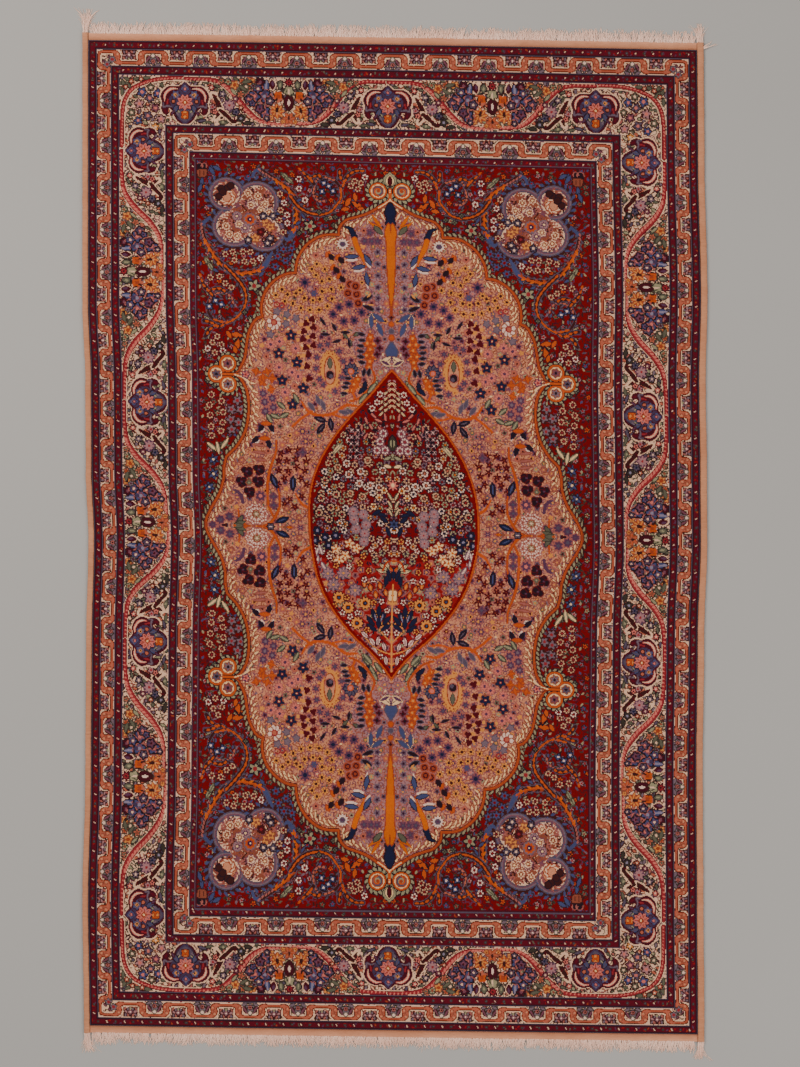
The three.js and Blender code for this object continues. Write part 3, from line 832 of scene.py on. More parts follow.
def arabesques(draw):
    """Forked scrolls: dark edged, blue and pinkish at their tips, orange in the middle."""
    for upper in (True, False):
        if upper:
            stem = [(253.6, 177), (256, 171.5), (261, 169.6), (268, 174), (277, 180), (287, 187.4),
                    (293.8, 195), (297, 205), (297.5, 215), (297, 224), (294, 233), (290, 238),
                    (282.6, 242)]
            branch = [(292, 197), (298, 205), (305, 210.5), (312.8, 213.5), (321.7, 214.5), (330.6, 212),
                      (337.5, 205), (342, 197.4), (341, 187.4), (334.5, 180), (325, 177), (318, 180),
                      (315, 188.5), (315, 196), (320, 201), (327, 201)]
            tips = ([(301, 169.5), (306, 174), (311, 178.5), (315, 184)],
                    [(311, 178.5), (319, 175), (322, 178)])
            twig = ([(342, 190), (346, 181), (350, 175), (357, 171), (365, 171)],
                    [(345, 182), (341, 176), (341, 170)])
        else:
            stem = [(217, 214), (209, 219), (203, 224), (203.5, 231), (206, 240), (212, 251), (220, 262.5),
                    (228, 269), (237, 272.5), (246, 273), (256, 271), (264, 267), (268.5, 260), (271.5, 253)]
            branch = [(226, 266), (234, 274), (240, 281), (245, 289.5), (246.5, 299), (244, 308),
                      (237.5, 316.5), (227, 322), (214, 319), (208, 308), (212, 297), (222, 292),
                      (232, 297), (234, 306)]
            tips = [(201, 275), (204, 284), (209, 290), (214, 296)], [(209, 290), (219, 288), (226, 291)]
            twig = [(227, 322), (219, 326), (211, 322), (204, 320)], [(215, 325), (209, 330), (205, 336)]
        edges = Brush(draw.sheet)
        for path, spacing in ((spline(draw.place(stem)), 7.4), (spline(draw.place(branch)), 9.0)):
            for offset in (3.6, -3.6):
                edges.comb(path, spacing, offset, 4.4, 1.7, 38, "slate", "brown", start=4)
        draw.line(stem, ((2, 5.0, 5.8, 7.8, 7.8, 6.8, 4.8), "slate"),
                  ((1, 3.8, 4.2, 5.8, 5.8, 5.0, 3.2), "brown"))
        draw.line(stem[:3], ((3.0, 3.6), "blue"))
        draw.line(stem[-4:], ((2, 4.2, 4.2, 2), "blue"))
        edges.comb(spline(draw.place(stem[2:6])), 4.2, 0.6, 4.6, 1.9, 18, "blush")
        leaves = spline(draw.place(stem[4:-2]))
        edges.ribbon(leaves, 1.8, "flame")
        edges.comb(leaves, 5.6, 0.0, 5.2, 2.8, 0, "flame")
        edges.comb(leaves, 8.6, 1.7, 5.0, 1.9, 32, "orange", start=2)
        edges.comb(leaves, 8.6, -1.7, 5.0, 1.9, 32, "rust", start=6)
        draw.line(branch, ((6.4, 6.4, 5.2, 4.2, 3.8, 3.6, 2.4), "slate"),
                  ((4.8, 4.8, 3.4, 2.8, 2.4, 2.2, 1.4), "brown"))
        outward = spline(draw.place(branch[:9]))
        edges.ribbon(outward, 1.4, "flame")
        edges.comb(outward, 6.2, 0.0, 5.0, 2.4, 0, "flame")
        edges.comb(spline(draw.place(branch[9:])), 4.2, 0.0, 3.8, 1.9, 0, "salmon")
        for tip in (*tips, *twig):
            draw.line(tip, ((2.4, 5.6, 5.0), "slate"), ((1.6, 4.2, 3.6), "brown"))
            edges.comb(spline(draw.place(tip)), 5.6, 0.0, 4.6, 2.4, 0, "flame")
    blue_leaves = (
        (302, 181, 30), (299, 223, 140), (281, 246, 70), (216, 270, 30), (262, 274, -50), (300, 200, -20),
        (250, 279, 30), (304, 216, 60),
    )
    for x, y, turn in blue_leaves:
        draw.leaf(x, y, 7, 2.6, turn, "blue", "brown")


def roundel(draw):
    """Four ivory lobes with curls and blossoms, in a mauve frame with blue feathers."""
    lobes = ((227.4, 194, 13), (258, 202, 17), (234.6, 226.4, 16.7), (264.8, 232, 15.6), (246, 213, 14))
    for x, y, r in lobes:
        draw.disc(x, y, r + 8.4, "brown")
        for turn in range(0, 360, 18):
            dx, dy = cosd(turn), sind(turn)
            draw.leaf(x + dx * (r + 7.3), y + dy * (r + 7.3), 6.4, 2.8, turn + 40, "blue")
    for x, y, r in (lobes[4], lobes[1], lobes[2], lobes[3], lobes[0]):
        more_discs = (
            (5.2, "slate"), (4.0, "haze"), (2.8, "mauve"), (1.8, "slate"), (0.4, "ivory"),
        )
        for extra, dye in more_discs:
            draw.disc(x, y, r + extra, dye)
        for turn in range(0, 360, 24):
            draw.disc(x + cosd(turn) * (r + 3.6), y + sind(turn) * (r + 3.6),
                      0.8, "blue")
    for x, y, r in lobes[1:]:
        draw.disc(x, y, r - 0.6, "ivory")
    chance = np.random.default_rng(3)
    for x, y, r in lobes:
        for n in range(int(r * 7)):
            turn, way = chance.uniform(0, 360), r * np.sqrt(chance.uniform(0, 1)) * 0.88
            cx, cy = x + way * cosd(turn), y + way * sind(turn)
            dye = ("mauve", "clay", "blush", "brown", "clay")[n % 5]
            draw.scroll(cx, cy, 2.5, 1.1, turn, 300, (1.3, dye))
    lobe_x, lobe_y = 228, 196
    draw.disc(lobe_x, lobe_y, 9.6, "clay")
    draw.disc(lobe_x, lobe_y, 8.8, "peach")
    for turn in range(20, 360, 40):
        draw.leaf(lobe_x + 6 * cosd(turn), lobe_y + 1 + 6 * sind(turn), 6, 2.0, turn + 60, "ivory", "rust")
    for x, y in ((222.4, 188.5), (229, 187.4), (220, 196.3), (232, 185.5), (224, 192)):
        draw.disc(x, y, 3.1, "brown", "ink")
    discs = (
        (249, 193, "blush"), (259, 196, "blush"), (266, 204, "blush"), (262, 210, "clay"),
        (238, 216, "haze"), (227, 226, "blush"), (238, 236, "salmon"), (246, 228, "haze"),
        (230, 234, "blush"), (240, 224, "mauve"), (252, 205, "mauve"), (270, 212, "slate"),
    )
    for x, y, dye in discs:
        draw.disc(x, y, 4.9, "clay" if dye == "blush" else dye)
        draw.lobes(x, y, 4.4, 7, 0.25, "ivory" if dye != "haze" else "lilac", x * 7)
        draw.lobes(x, y, 3.2, 7, 0.4, "clay" if dye != "haze" else "violet", x * 7)
        draw.disc(x, y, 1.2, "cream")
    for x, y in ((267, 223), (256, 238), (271, 227)):
        draw.daisy(x, y, 4.4, 5, "gold", "clay", "clay", turn=y * 9)
    wine_daisy = (261.4, 232)
    draw.daisy(*wine_daisy, 3.6, 5, "wine", "rose", "brown")
    for x, y in ((271, 238), (268, 243), (264, 216), (274, 216), (249, 240)):
        draw.daisy(x, y, 3.8, 5, "slate", "ivory", "ink", turn=x * 19)
    heart = (250.8, 219.2)
    draw.disc(*heart, 6.6, "haze")
    draw.lobes(*heart, 5.6, 9, 0.2, "flame")
    for r, dye in ((3.0, "rose"), (2.2, "navy"), (0.8, "white")):
        draw.disc(*heart, r, dye)
    corner_basket(draw)
    for turn, x, y in ((60, 213, 170.6), (30, 218, 168), (95, 203, 182), (110, 201, 188)):
        draw.leaf(x, y, 10, 3.6, turn, "blue", "ink")


def corner_basket(draw):
    """A small basket of leaves and buds in the field's corner."""
    draw.lobes(202.8, 167.4, 6.4, 7, 0.2, "ink", -90)
    draw.scroll(201, 166.4, 4.4, 2.6, 180, 200, (1.0, "blush"))
    draw.scroll(205.6, 166, 3.4, 2.0, 180, 220, (1.0, "blush"))
    draw.fill([(198.5, 169.5), (208, 169.5), (207, 176.5), (199.5, 176.5)], "clay", "brown", 1.0)
    draw.leaf(201, 173, 6, 1.4, 90, "brown")
    draw.leaf(205, 173, 6, 1.4, 80, "brown")


def medallion(field, draw):
    """The scalloped medallion: feathered edge, peach ground and its flowers."""
    edge = np.vstack([spline(draw.place(scallop)) for scallop in SCALLOPS])
    closed = np.vstack([edge, draw.place([(380, 540), (385, 540), (430, 540), (430, 199)])])
    inside = held_by(field, closed)
    brush = Brush(field)
    for scallop in SCALLOPS:
        path = spline(draw.place(scallop))
        brush.comb(path, 5.2, 3.6, 5.6, 2.2, -34, "sage", "brown", start=1.5)
    field.dyes[inside] = DYE_NUMBER["peach"]
    ground_curls(field, draw, inside)
    for scallop in SCALLOPS:
        path = spline(draw.place(scallop))
        brush.comb(path, 7.0, -7.0, 9.0, 1.9, 52, "cream", "clay", start=2.0)
        brush.comb(path, 7.0, -4.8, 6.0, 1.7, 20, "cream", "clay", start=5.5)
    brush.ribbon(edge, 3.9, "brown")
    brush.ribbon(edge, 3.0, "rust")
    brush.ribbon(edge, 0.7, "flame")
    trefoil(draw)
    medallion_top(draw)
    medallion_flowers(draw)
    medallion_side(draw)
    finial(draw)
    return inside


def ground_curls(field, draw, inside):
    """The fine scrolls that cover the medallion's ground."""
    def curl(brush, x, y, turn):
        dye = ("clay", "mauve", "blush", "clay", "mauve")[int(turn * 5)]
        brush.scroll(x, y, 2.4, 1.1, turn * 360, 280, (1.0, dye))

    def speck(brush, x, y, turn):
        dye = ("cream", "blush", "green", "haze", "salmon", "gold", "lilac", "mauve")[int(turn * 8)]
        brush.leaf(x, y, 3.2, 1.6, turn * 720, dye)

    lilac = draw.fill([(368, 214), (357, 220), (345, 229), (352, 240), (362, 262), (366, 300), (352, 330),
                       (356, 360), (372, 372), (AXIS, 372), (AXIS, 214)], "lilac")
    field.dyes[lilac & inside] = DYE_NUMBER["lilac"]
    sow(field, inside, 4.5, curl, jitter=0.3)
    sow(field, inside, 5.4, speck, jitter=0.4, keep=0.6)
    sow(field, inside, 11.0, ground_blossom, jitter=0.25, keep=0.85)


def ground_blossom(brush, x, y, turn):
    """A small flower of the medallion's ground."""
    dye = ("violet", "haze", "green", "gold", "mauve", "salmon", "sage", "slate")[int(turn * 8)]
    brush.daisy(x, y, 2.9, 5, dye, "gold" if turn * 16 % 2 < 1 else "maroon", "blush", turn=turn * 90,
                heart_r=0.4, depth=0.4)


def trefoil(draw):
    """Three rings with blossoms, set on the edge where two scallops meet."""
    rings = ((226.6, 363.0), (215.0, 373.4), (226.6, 383.6))
    for x, y in rings:
        draw.disc(x, y, 11.2, "wine")
        for turn in range(0, 360, 30):
            dx, dy = cosd(turn) * 9.6, sind(turn) * 9.6
            draw.leaf(x + dx, y + dy, 5.4, 2.8, turn + 50, "sage", "ink")
    for r, dye in ((9.2, "brown"), (8.5, "flame"), (6.7, "clay"), (6.1, "cream")):
        for x, y in rings:
            draw.disc(x, y, r, dye)
    for (x, y), dye in zip(rings, ("mauve", "slate", "haze")):
        draw.daisy(x, y, 4.4, 6, dye, "ink", "clay", turn=20)
    draw.line([(222, 373.5), (228, 373.8), (236, 374)], (3.8, "brown"), (2.8, "flame"))
    draw.line([(233, 373.8), (243, 378), (250, 388)], (1.2, "cream"))


def finial(draw):
    """The scrolled crown on the medallion's tip, and the spearhead hanging inside it."""
    for x, way in ((379, 1), (403, -1)):
        draw.disc(x, 191, 12.2, "wine")
        for turn in range(0, 360, 26):
            dx, dy = cosd(turn) * 10.6, sind(turn) * 10.6
            draw.leaf(x + dx, 191 + dy, 6.0, 3.0, turn + 45 * way, "sage", "ink")
        draw.disc(x, 191, 9.6, "brown")
        draw.disc(x, 191, 8.8, "flame")
        draw.disc(x, 191, 7.0, "cream")
        draw.disc(x, 191, 6.0, "rust")
        draw.disc(x, 191, 5.0, "slate")
        draw.disc(x, 191, 3.4, "sage")
        draw.scroll(x, 191, 4.2, 1.0, 90, 330 * way, (1.6, "flame"))
        draw.disc(x, 191, 1.4, "rust")
    draw.leaf(AXIS, 180, 16, 13, 90, "sage", "ink")
    draw.leaf(AXIS, 181, 12, 8, 90, "cream", "green")
    draw.leaf(AXIS, 181.5, 11, 3.2, 90, "wine", "ink")
    draw.line([(AXIS, 190), (AXIS, 199), (387, 203), (379, 208)],
              (4.4, "brown"), (3.2, "flame"), (1.0, "cream"))
    draw.fill([(AXIS, 203), (386, 209), (385.5, 214), (387, 219), (386, 224), (AXIS, 230)],
              "navy", "ink", 1.2)
    for points in ([(380, 225), (376, 220), (373, 215)], [(381, 228), (374, 225), (369, 221)]):
        draw.line(points, ((3.6, 4.2, 1.4), "rust"), ((2.4, 3.0, 1.0), "orange"))
    green_leaf, cream_leaf = (378.5, 230), (383, 216)
    draw.leaf(*green_leaf, 12, 4.4, 48, "green", "moss")
    draw.leaf(*cream_leaf, 9, 2.2, 60, "cream", "rust")
    draw.fill([(AXIS, 229), (385, 231), (386.4, 244), (386.6, 262), (387.4, 280), (388.8, 296), (AXIS, 312)],
              "orange", "rust", 1.2)


def medallion_top(draw):
    """Stars on the lilac ground, the leaning column with its leaves, and the axis."""
    for y in (252, 264, 275.5, 287, 298, 309):
        draw.daisy(377.8, y, 2.7, 5, "violet", "ink", "haze", turn=y * 7)
    for x, y in ((370.5, 232.5), (365, 241), (372, 241), (378, 241)):
        draw.daisy(x, y, 3.6, 5, "violet", "slate", "mauve", turn=x * 7)
    draw.line([(346, 227), (351, 229), (355, 237)], ((2.4, 5.6, 6.6), "ink"), ((1.2, 3.6, 4.8), "navy"))
    draw.line([(355, 239), (357, 246), (361, 254), (364, 260), (366, 267)], ((6.0, 6.0, 4.4, 2.6), "rust"),
              ((4.8, 4.8, 3.2, 1.4), "orange"))
    for x, y, turn in ((352, 256.5, -5), (359, 267, -12), (367, 279, 80), (368, 260, 60)):
        draw.leaf(x, y + 3.2, 13, 3.6, turn, "white", "blush")
        draw.leaf(x, y, 14, 4.0, turn, "blue", "ink")
    star = (343, 244)
    draw.disc(*star, 6.6, "clay")
    draw.daisy(*star, 6.2, 12, "white", "slate", depth=0.3, heart_r=0.5)
    draw.disc(*star, 1.5, "violet")
    for x, y in ((330, 256), (340, 259), (335, 269), (341, 278)):
        draw.leaf(x - 2, y - 2, 7, 3.4, 120, "flame", "rust")
        draw.leaf(x + 1.5, y + 1, 7, 4.2, 55, "ink", "brown")
    for x, y in ((345, 336), (356, 334), (350, 343), (336, 350)):
        draw.leaf(x, y, 6, 2.6, x * 9, "green", "moss")
    mixed_daisies = (
        (305, 282, 6.2, 8, "violet", "navy", "blush"), (310, 288.5, 3.2, 6, "lilac", "pink", "mauve"),
        (314, 293, 3.2, 6, "blue", "slate", "mauve"), (317, 284, 2.6, 5, "pink", "cream", "mauve"),
    )
    for daisy in mixed_daisies:
        draw.daisy(*daisy)
    clay_rosettes = (
        (317, 264), (325, 269), (316, 275), (322, 281), (329.5, 279), (322, 291), (331.5, 289),
        (332, 298.5), (320, 299), (313, 300), (304.5, 298), (296, 293), (288, 294), (293, 303),
        (301, 307.5), (310, 309.5), (319, 309.5), (327.5, 306), (312, 269), (341, 287), (338, 305),
        (285, 301), (282, 289), (276, 295), (300, 290),
    )
    for x, y in clay_rosettes:
        draw.lobes(x, y, 4.4, 6, 0.3, "clay", x * 23)
        draw.lobes(x, y, 3.9, 6, 0.5, "gold", x * 23)
        draw.disc(x, y, 1.5, "brown")
        draw.disc(x, y, 0.7, "maroon")
    rust_discs = (
        (348, 293), (356.5, 294), (350, 284), (355.5, 286), (350, 301), (358, 303),
    )
    for x, y in rust_discs:
        draw.disc(x, y, 4.2, "rust", "blush")
        draw.ring(x, y, 2.2, 1.3, "maroon")
    for x, y, turn in ((367, 298, -28), (368.5, 307.5, 20)):
        draw.leaf(x, y, 12, 4.0, turn, "ink", "slate")
        draw.leaf(x + 2, y - 3, 7, 2.0, turn - 18, "gold")
    for x, y, turn in ((371, 321, 90), (378, 317.5, 35), (379.5, 329, 68)):
        draw.leaf(x - 0.5, y, 15, 5.2, turn, "cream")
        draw.leaf(x, y, 14, 3.8, turn, "blue", "slate")
    draw.daisy(AXIS, 317, 2.6, 4, "wine", "ink", "clay")
    for y, dye, rim in ((324, "flame", "clay"), (331, "slate", "haze"), (337.5, "flame", "rust")):
        draw.disc(AXIS, y, 2.4, dye, rim)
    draw.fill([(AXIS, 342), (386, 348), (384.5, 352), (387, 357), (AXIS, 358)], "blue", "slate", 1.2)
    for turn in (25, 55, 125, 155):
        draw.leaf(AXIS + 6.5 * cosd(turn), 360 + 5 * sind(turn) - 3, 12, 3.2,
                  turn, "cream", "violet")
    for turn in (205, 335):
        draw.leaf(AXIS + 7 * cosd(turn), 361 - 4 * sind(turn), 11, 3.2,
                  turn, "violet", "cream")


def medallion_flowers(draw):
    """The flowers on the peach ground between the column and the scallops."""
    violet_daisies = (
        (333, 314), (339, 307), (349, 304), (361.5, 312), (354, 320), (343.5, 321),
    )
    for x, y in violet_daisies:
        draw.daisy(x, y, 5.0, 8, "violet", "navy", "blush", depth=0.35, turn=x * 5)
    hearts = ((312, 319), (306, 323), (313, 327), (303.6, 331), (312.5, 336), (302.5, 338.5), (313, 345),
              (305, 347), (307.5, 354), (306, 366), (308, 378))
    for x, y in hearts:
        draw.disc(x - 5, y + 1, 2.0, "gold")
        draw.lobes(x, y, 3.8, 3, 0.35, "wine", -90 + (15 if x > 308 else -15))
    slate_leaves = (
        (322.5, 321, 55), (334, 327, 62), (325, 334, 5), (345, 332, 0), (336, 341, -20), (348.5, 343, 84),
        (327, 343, 30),
    )
    for x, y, turn in slate_leaves:
        draw.leaf(x, y, 11, 3.6, turn, "slate")
        draw.leaf(x, y, 10, 2.8, turn, "ink")
    ring_x, ring_y = 274, 322
    for turn in range(-75, 200, 45):
        draw.disc(ring_x + 4.8 * cosd(turn), ring_y + 5.4 * sind(turn), 2.2, "white", "clay")
    draw.disc(ring_x, ring_y, 2.2, "salmon", "rose")
    for x, y in ((287, 314), (296, 318), (286, 323.5), (270, 334), (277, 311)):
        draw.lobes(x, y, 4.4, 5, 0.3, "slate", y * 3)
        draw.lobes(x, y, 3.2, 5, 0.3, "haze", y * 3)
    for x, y in ((277, 304), (282, 305)):
        draw.ring(x, y, 2.4, 1.3, "rose")
    clay_rosettes = (
        (290.7, 335), (278, 353), (296, 362), (281, 380), (302, 388), (291.5, 404),
    )
    for x, y in clay_rosettes:
        draw.lobes(x, y, 6.4, 5, 0.25, "clay", -90)
        draw.lobes(x, y, 5.8, 5, 0.42, "navy", -90)
        draw.disc(x, y, 1.5, "rose")
        draw.disc(x, y, 0.7, "cream")
    pink_daisies = (
        (270, 344), (279, 341), (278, 367), (295, 348), (297, 376), (284, 392), (291, 372),
    )
    for x, y in pink_daisies:
        draw.daisy(x, y, 4.6, 8, "pink", "violet", "blush", depth=0.45)
    draw.fill([(329, 351), (322, 357), (318.5, 371), (321, 383), (328, 390), (336, 386), (340, 372),
               (337, 358)], "gold", "clay", 2.0)
    pod_x, pod_y = 329, 371
    for turn in range(0, 360, 24):
        x, y = pod_x + 9.6 * cosd(turn), pod_y + 18 * sind(turn)
        draw.lobes(x, y, 3.2, 5, 0.4, "gold")
        draw.disc(x, y, 0.8, "rust")
    draw.fill([(329, 356), (324.5, 362), (323.5, 372), (325, 381), (329, 384), (333, 381), (334.5, 371),
               (333, 361)], "peach", "rust", 1.2)
    draw.leaf(pod_x, pod_y - 8, 11, 3.6, 90, "green", "moss")
    draw.disc(pod_x, pod_y + 3.5, 4.0, "ink", "blush")
    draw.disc(pod_x + 1, pod_y + 5, 2.0, "slate")
    more_violet_daisies = (
        (316, 357), (315, 368), (319.5, 345), (327, 344), (338.5, 351), (342.5, 361), (341, 377),
        (334, AXIS), (322, 384), (318.5, 379), (344, 371),
    )
    for x, y in more_violet_daisies:
        draw.daisy(x, y, 3.8, 6, "violet", "slate", "blush", turn=y * 3)
    flame_leaves = (
        (255, 371, 15), (266, 371, -10), (261, 382, 40), (270, 389, 80), (262, 377, 0), (271, 378, 95),
    )
    for x, y, turn in flame_leaves:
        draw.leaf(x, y, 10, 3.2, turn, "flame", "rust")
        draw.leaf(x, y, 8, 2.6, turn + 85, "flame", "rust")
    pink_daisy = (244.5, 374)
    draw.daisy(*pink_daisy, 3.6, 5, "pink", "rose", "violet")
    for x, y in ((262, 393), (271, 398), (263.5, 401.5), (272, 407), (264, 411)):
        draw.daisy(x, y, 4.4, 7, "violet", "haze", "blush", depth=0.3)
    for x, y, turn in ((260, 427, -55), (269.6, 427, 62), (254, 439, -40), (267, 443, 75)):
        draw.leaf(x + 1, y + 3, 8, 2.6, turn, "white")
        draw.leaf(x, y, 9.5, 3.8, turn, "ink", "navy")
    for x, y in ((264.6, 423), (263, 438)):
        draw.leaf(x, y, 11, 3.6, 0, "flame", "rust")
    for y in (445, 452, 459):
        draw.leaf(258, y, 14, 2.0, 8, "blush", "clay")
    flower_trees(draw)
    for x, y in ((363, 372), (368, 372)):
        draw.leaf(x, y, 8, 3.0, 100, "ink", "slate")
    fan_x, fan_y = 350, 370
    for turn in range(-60, 230, 40):
        draw.leaf(fan_x + 4.2 * cosd(turn), fan_y - 4.2 * sind(turn), 6.4, 3.0, -turn, "slate", "navy")
    draw.disc(fan_x, fan_y + 1, 2.2, "pink", "flame")
    for x, y in ((347, 378), (346, 383), (344, 387), (343, 393)):
        draw.leaf(x, y, 7, 2.6, 4, "ink", "slate")
    for x, y, turn in ((373.6, 386, -62), (370, 392, -50), (365, 400, -58)):
        draw.leaf(x, y, 13, 4.0, turn, "green", "moss", belly="sage")
    for x, y, turn in ((364, 385, 100), (366, AXIS, 60), (361, 390, 130)):
        draw.leaf(x, y, 9, 3.4, turn, "navy", "ink")
    draw.line([(354, 380), (357, 385), (352, AXIS), (354, 399), (349, 401)], (2.6, "flame"))
    draw.line([(372, 371), (374, 378), (370, 386), (361, 396), (350, 401)], (2.6, "flame"), (0.9, "rust"))
    draw.line([(308, 403), (311, 410), (300, 418), (291, 426)], (2.6, "flame"))
    draw.line([(301, 402), (307, 411), (318, 415), (332, 413), (345, 405), (356, 406), (352, 404)],
              ((2.0, 3.2, 3.2, 3.2, 1.6), "flame"))
    draw.line([(331, 414), (342, 417), (352, 416)], (2.2, "flame"))
    more_slate_leaves = (
        (310, 406, 52), (317, 400, 66), (322, 405, 70), (350, 412, 24), (343, 412, 10),
    )
    for x, y, turn in more_slate_leaves:
        draw.leaf(x, y, 11, 3.6, turn, "slate", "haze")
    for x, y, turn in ((319, 419, 18), (319.5, 428, -52), (329.5, 424, 82)):
        draw.leaf(x, y, 12.5, 4.4, turn, "ink", "navy")
        draw.leaf(x, y, 8, 1.4, turn, "slate")
    gold_daisies = (
        (337, 424, "wine"), (336, 431, "wine"), (304, 441, "violet"), (301, 431, "violet"),
        (311, 428, "green"), (289, 421, "green"), (343, 400, "mauve"), (309, 441, "navy"),
    )
    for x, y, dye in gold_daisies:
        draw.daisy(x, y, 4.2 if dye == "violet" else 2.8, 6, dye, "gold", "blush")
    green_leaves = (
        (280, 405, 40), (274, 416, 20), (283, 415, -30), (295, 398, 60), (268, 418, 60),
    )
    for x, y, turn in green_leaves:
        draw.leaf(x, y, 10, 4.0, turn, "green", "moss", belly="sage")


def flower_trees(draw):
    """Upright sprays of orange blossom with dark dashes beside them."""
    draw.line([(370, 333), (369.5, 350), (368, 368)], (1.4, "clay"))
    flame_daisies = (
        (370, 337), (366.5, 343), (373, 343.5), (369.5, 349), (366, 355), (372.5, 355), (369, 361),
        (368, 367),
    )
    for x, y in flame_daisies:
        draw.daisy(x, y, 3.7, 5, "flame", "gold", "rust", turn=x * 31)
    ink_leaves = (
        (361, 334), (361.5, 340), (360, 345.5), (360, 351), (360, 356.5), (361, 362),
    )
    for x, y in ink_leaves:
        draw.leaf(x, y, 7, 2.8, 6, "ink", "slate")
    for x, y in ((377, 340.5), (379, 348), (376.5, 354)):
        draw.daisy(x, y, 3.4, 4, "wine", "ink", "mauve", turn=x * 5)
    for x, y in ((349, 379.5), (353, 384), (357, 379), (351, 390)):
        draw.daisy(x, y, 3.2, 5, "flame", "gold", "rust", turn=x * 31)


def medallion_side(draw):
    """Red stars, dark clovers and the white wreaths towards the side tip."""
    draw.line([(274.7, 440), (274, 452), (269, 466), (266, 480), (265, 494), (266, 506), (270, 516)],
              ((2, 3.0, 3.4, 3.0, 2.4), "rust"), ((1, 1.7, 2.1, 1.7, 1.4), "flame"))
    draw.line([(276, 487), (277, 497), (276, 508), (270, 519), (262, 525), (252, 526.5), (243, 525),
               (236, 517), (235, 509)], ((2, 3.0, 3.4, 3.0, 2), "rust"), ((1, 1.7, 2.1, 1.7, 1), "flame"))
    draw.line([(262, 525), (268, 531), (276, 536)], (2.9, "rust"), (1.6, "flame"))
    draw.line([(243, 525), (237, 532), (235, 540)], (2.9, "rust"), (1.6, "flame"))
    draw.line([(306.5, 508), (299, 503), (293, 493)], ((3.4, 2.8, 1.6), "flame"))
    wine_rosettes = (
        (449.5, (287, 296)), (453, (279.5, 303)), (458.5, (294,)), (460.5, (277, 285, 304.5)),
        (466.5, (295,)), (470, (277, 286.5, 303)), (478, (282.5, 299)), (484, (276, 305)), (496, (299.5,)),
        (498.5, (287,)), (506.5, (292,)), (503, (282,)),
    )
    for y, xs in wine_rosettes:
        for x in xs:
            draw.lobes(x, y, 4.2, 5, 0.56, "wine", y * 7)
            draw.disc(x, y, 0.7, "rust")
    for x, y, turn in ((272, 480.5, 68), (291, 483, 92)):
        draw.leaf(x, y, 15, 5.4, turn, "ink", "navy")
        draw.leaf(x, y, 11, 2.2, turn, "blue")
    for x, y in ((245, 471), (257, 469), (239.5, 481), (256, 481), (247, 491.5)):
        for turn in (90, 210, 330, 30):
            away = 2.7 * np.array([cosd(turn), sind(turn)])
            draw.disc(x + away[0], y + away[1], 2.6, "ink", "wine")
        draw.disc(x, y, 1.0, "violet")
    violet_daisy, green_daisy = (258, 495.5), (247, 482)
    draw.daisy(*violet_daisy, 5.4, 7, "violet", "pink", "blush", depth=0.3)
    draw.line([(233, 490), (238, 494), (240, 502)], (3.4, "violet"))
    draw.daisy(*green_daisy, 3.0, 6, "green", "sage", "clay")
    for x, y in ((271, 496), (271, 505), (301, 452)):
        draw.daisy(x, y, 3.6, 4, "violet", "slate", "mauve")
    for turn in range(0, 360, 36):
        dx, dy = cosd(turn), sind(turn)
        for middle in (513.5, 540.5):
            draw.floret(253 + 9 * dx, middle + 7.6 * dy, 2.9, "white", "clay", 5, turn, "blush")
            draw.disc(253 + 5.6 * dx, middle + 4.8 * dy, 0.9, "white")
    for y in (513.5, 540.5):
        draw.daisy(253, y, 3.2, 6, "sage", "ivory", "clay")
    for x, y in ((209, 525), (216.5, 519), (226, 516), (216.5, 532), (225, 535.5)):
        draw.daisy(x, y, 4.8, 7, "violet", "slate", "blush", depth=0.3)
    tip_daisy, leaf_root = (221.6, 526.6), (231, 525)
    draw.daisy(*tip_daisy, 3.4, 5, "wine", "clay", "ink")
    for turn in (-60, -20, 25):
        draw.leaf(236, 524 + turn * 0.06, 12, 4.0, turn, "green", "moss")
    draw.disc(*leaf_root, 1.4, "flame")
    for x, y, turn in ((279, 519.5, -22), (280, 537, 18)):
        draw.leaf(x, y, 14, 5.0, turn, "navy", "ink")
        draw.leaf(x, y, 9, 1.6, turn, "blue")
    stalk_foot, bud, calyx, stalk_tip = (267, 527), (286, 529), (281, 529), (297, 528)
    draw.daisy(*stalk_foot, 4.4, 6, "slate", "white", "ink")
    draw.leaf(*bud, 10, 6.0, 0, "orange", "rust")
    draw.daisy(*calyx, 3.2, 5, "green", "sage", "clay")
    draw.daisy(*stalk_tip, 4.4, 6, "violet", "lilac", "blush")
    blush_daisies = (
        (232, 463), (229, 478), (227, 500), (284, 508), (296, 517), (301, 490), (240, 460),
    )
    for x, y in blush_daisies:
        draw.daisy(x, y, 2.8, 5, "blush", "gold", "clay")


# ---- ogive ----------------------------------------------------------------------
# Left edge of the pointed panel in the middle, from its far tip to its near tip.
OGIVE_EDGE = [(AXIS, 371), (383, 380), (373, 392), (361, 405), (349, 418), (338, 431), (328, 445),
              (319, 461), (312, 479), (308, 498), (306.8, 518), (307.4, 538), (309.5, 552),
              (315.8, 577.6), (328, 603), (348.5, 630), (369, 650), (380, 662), (AXIS, 677)]


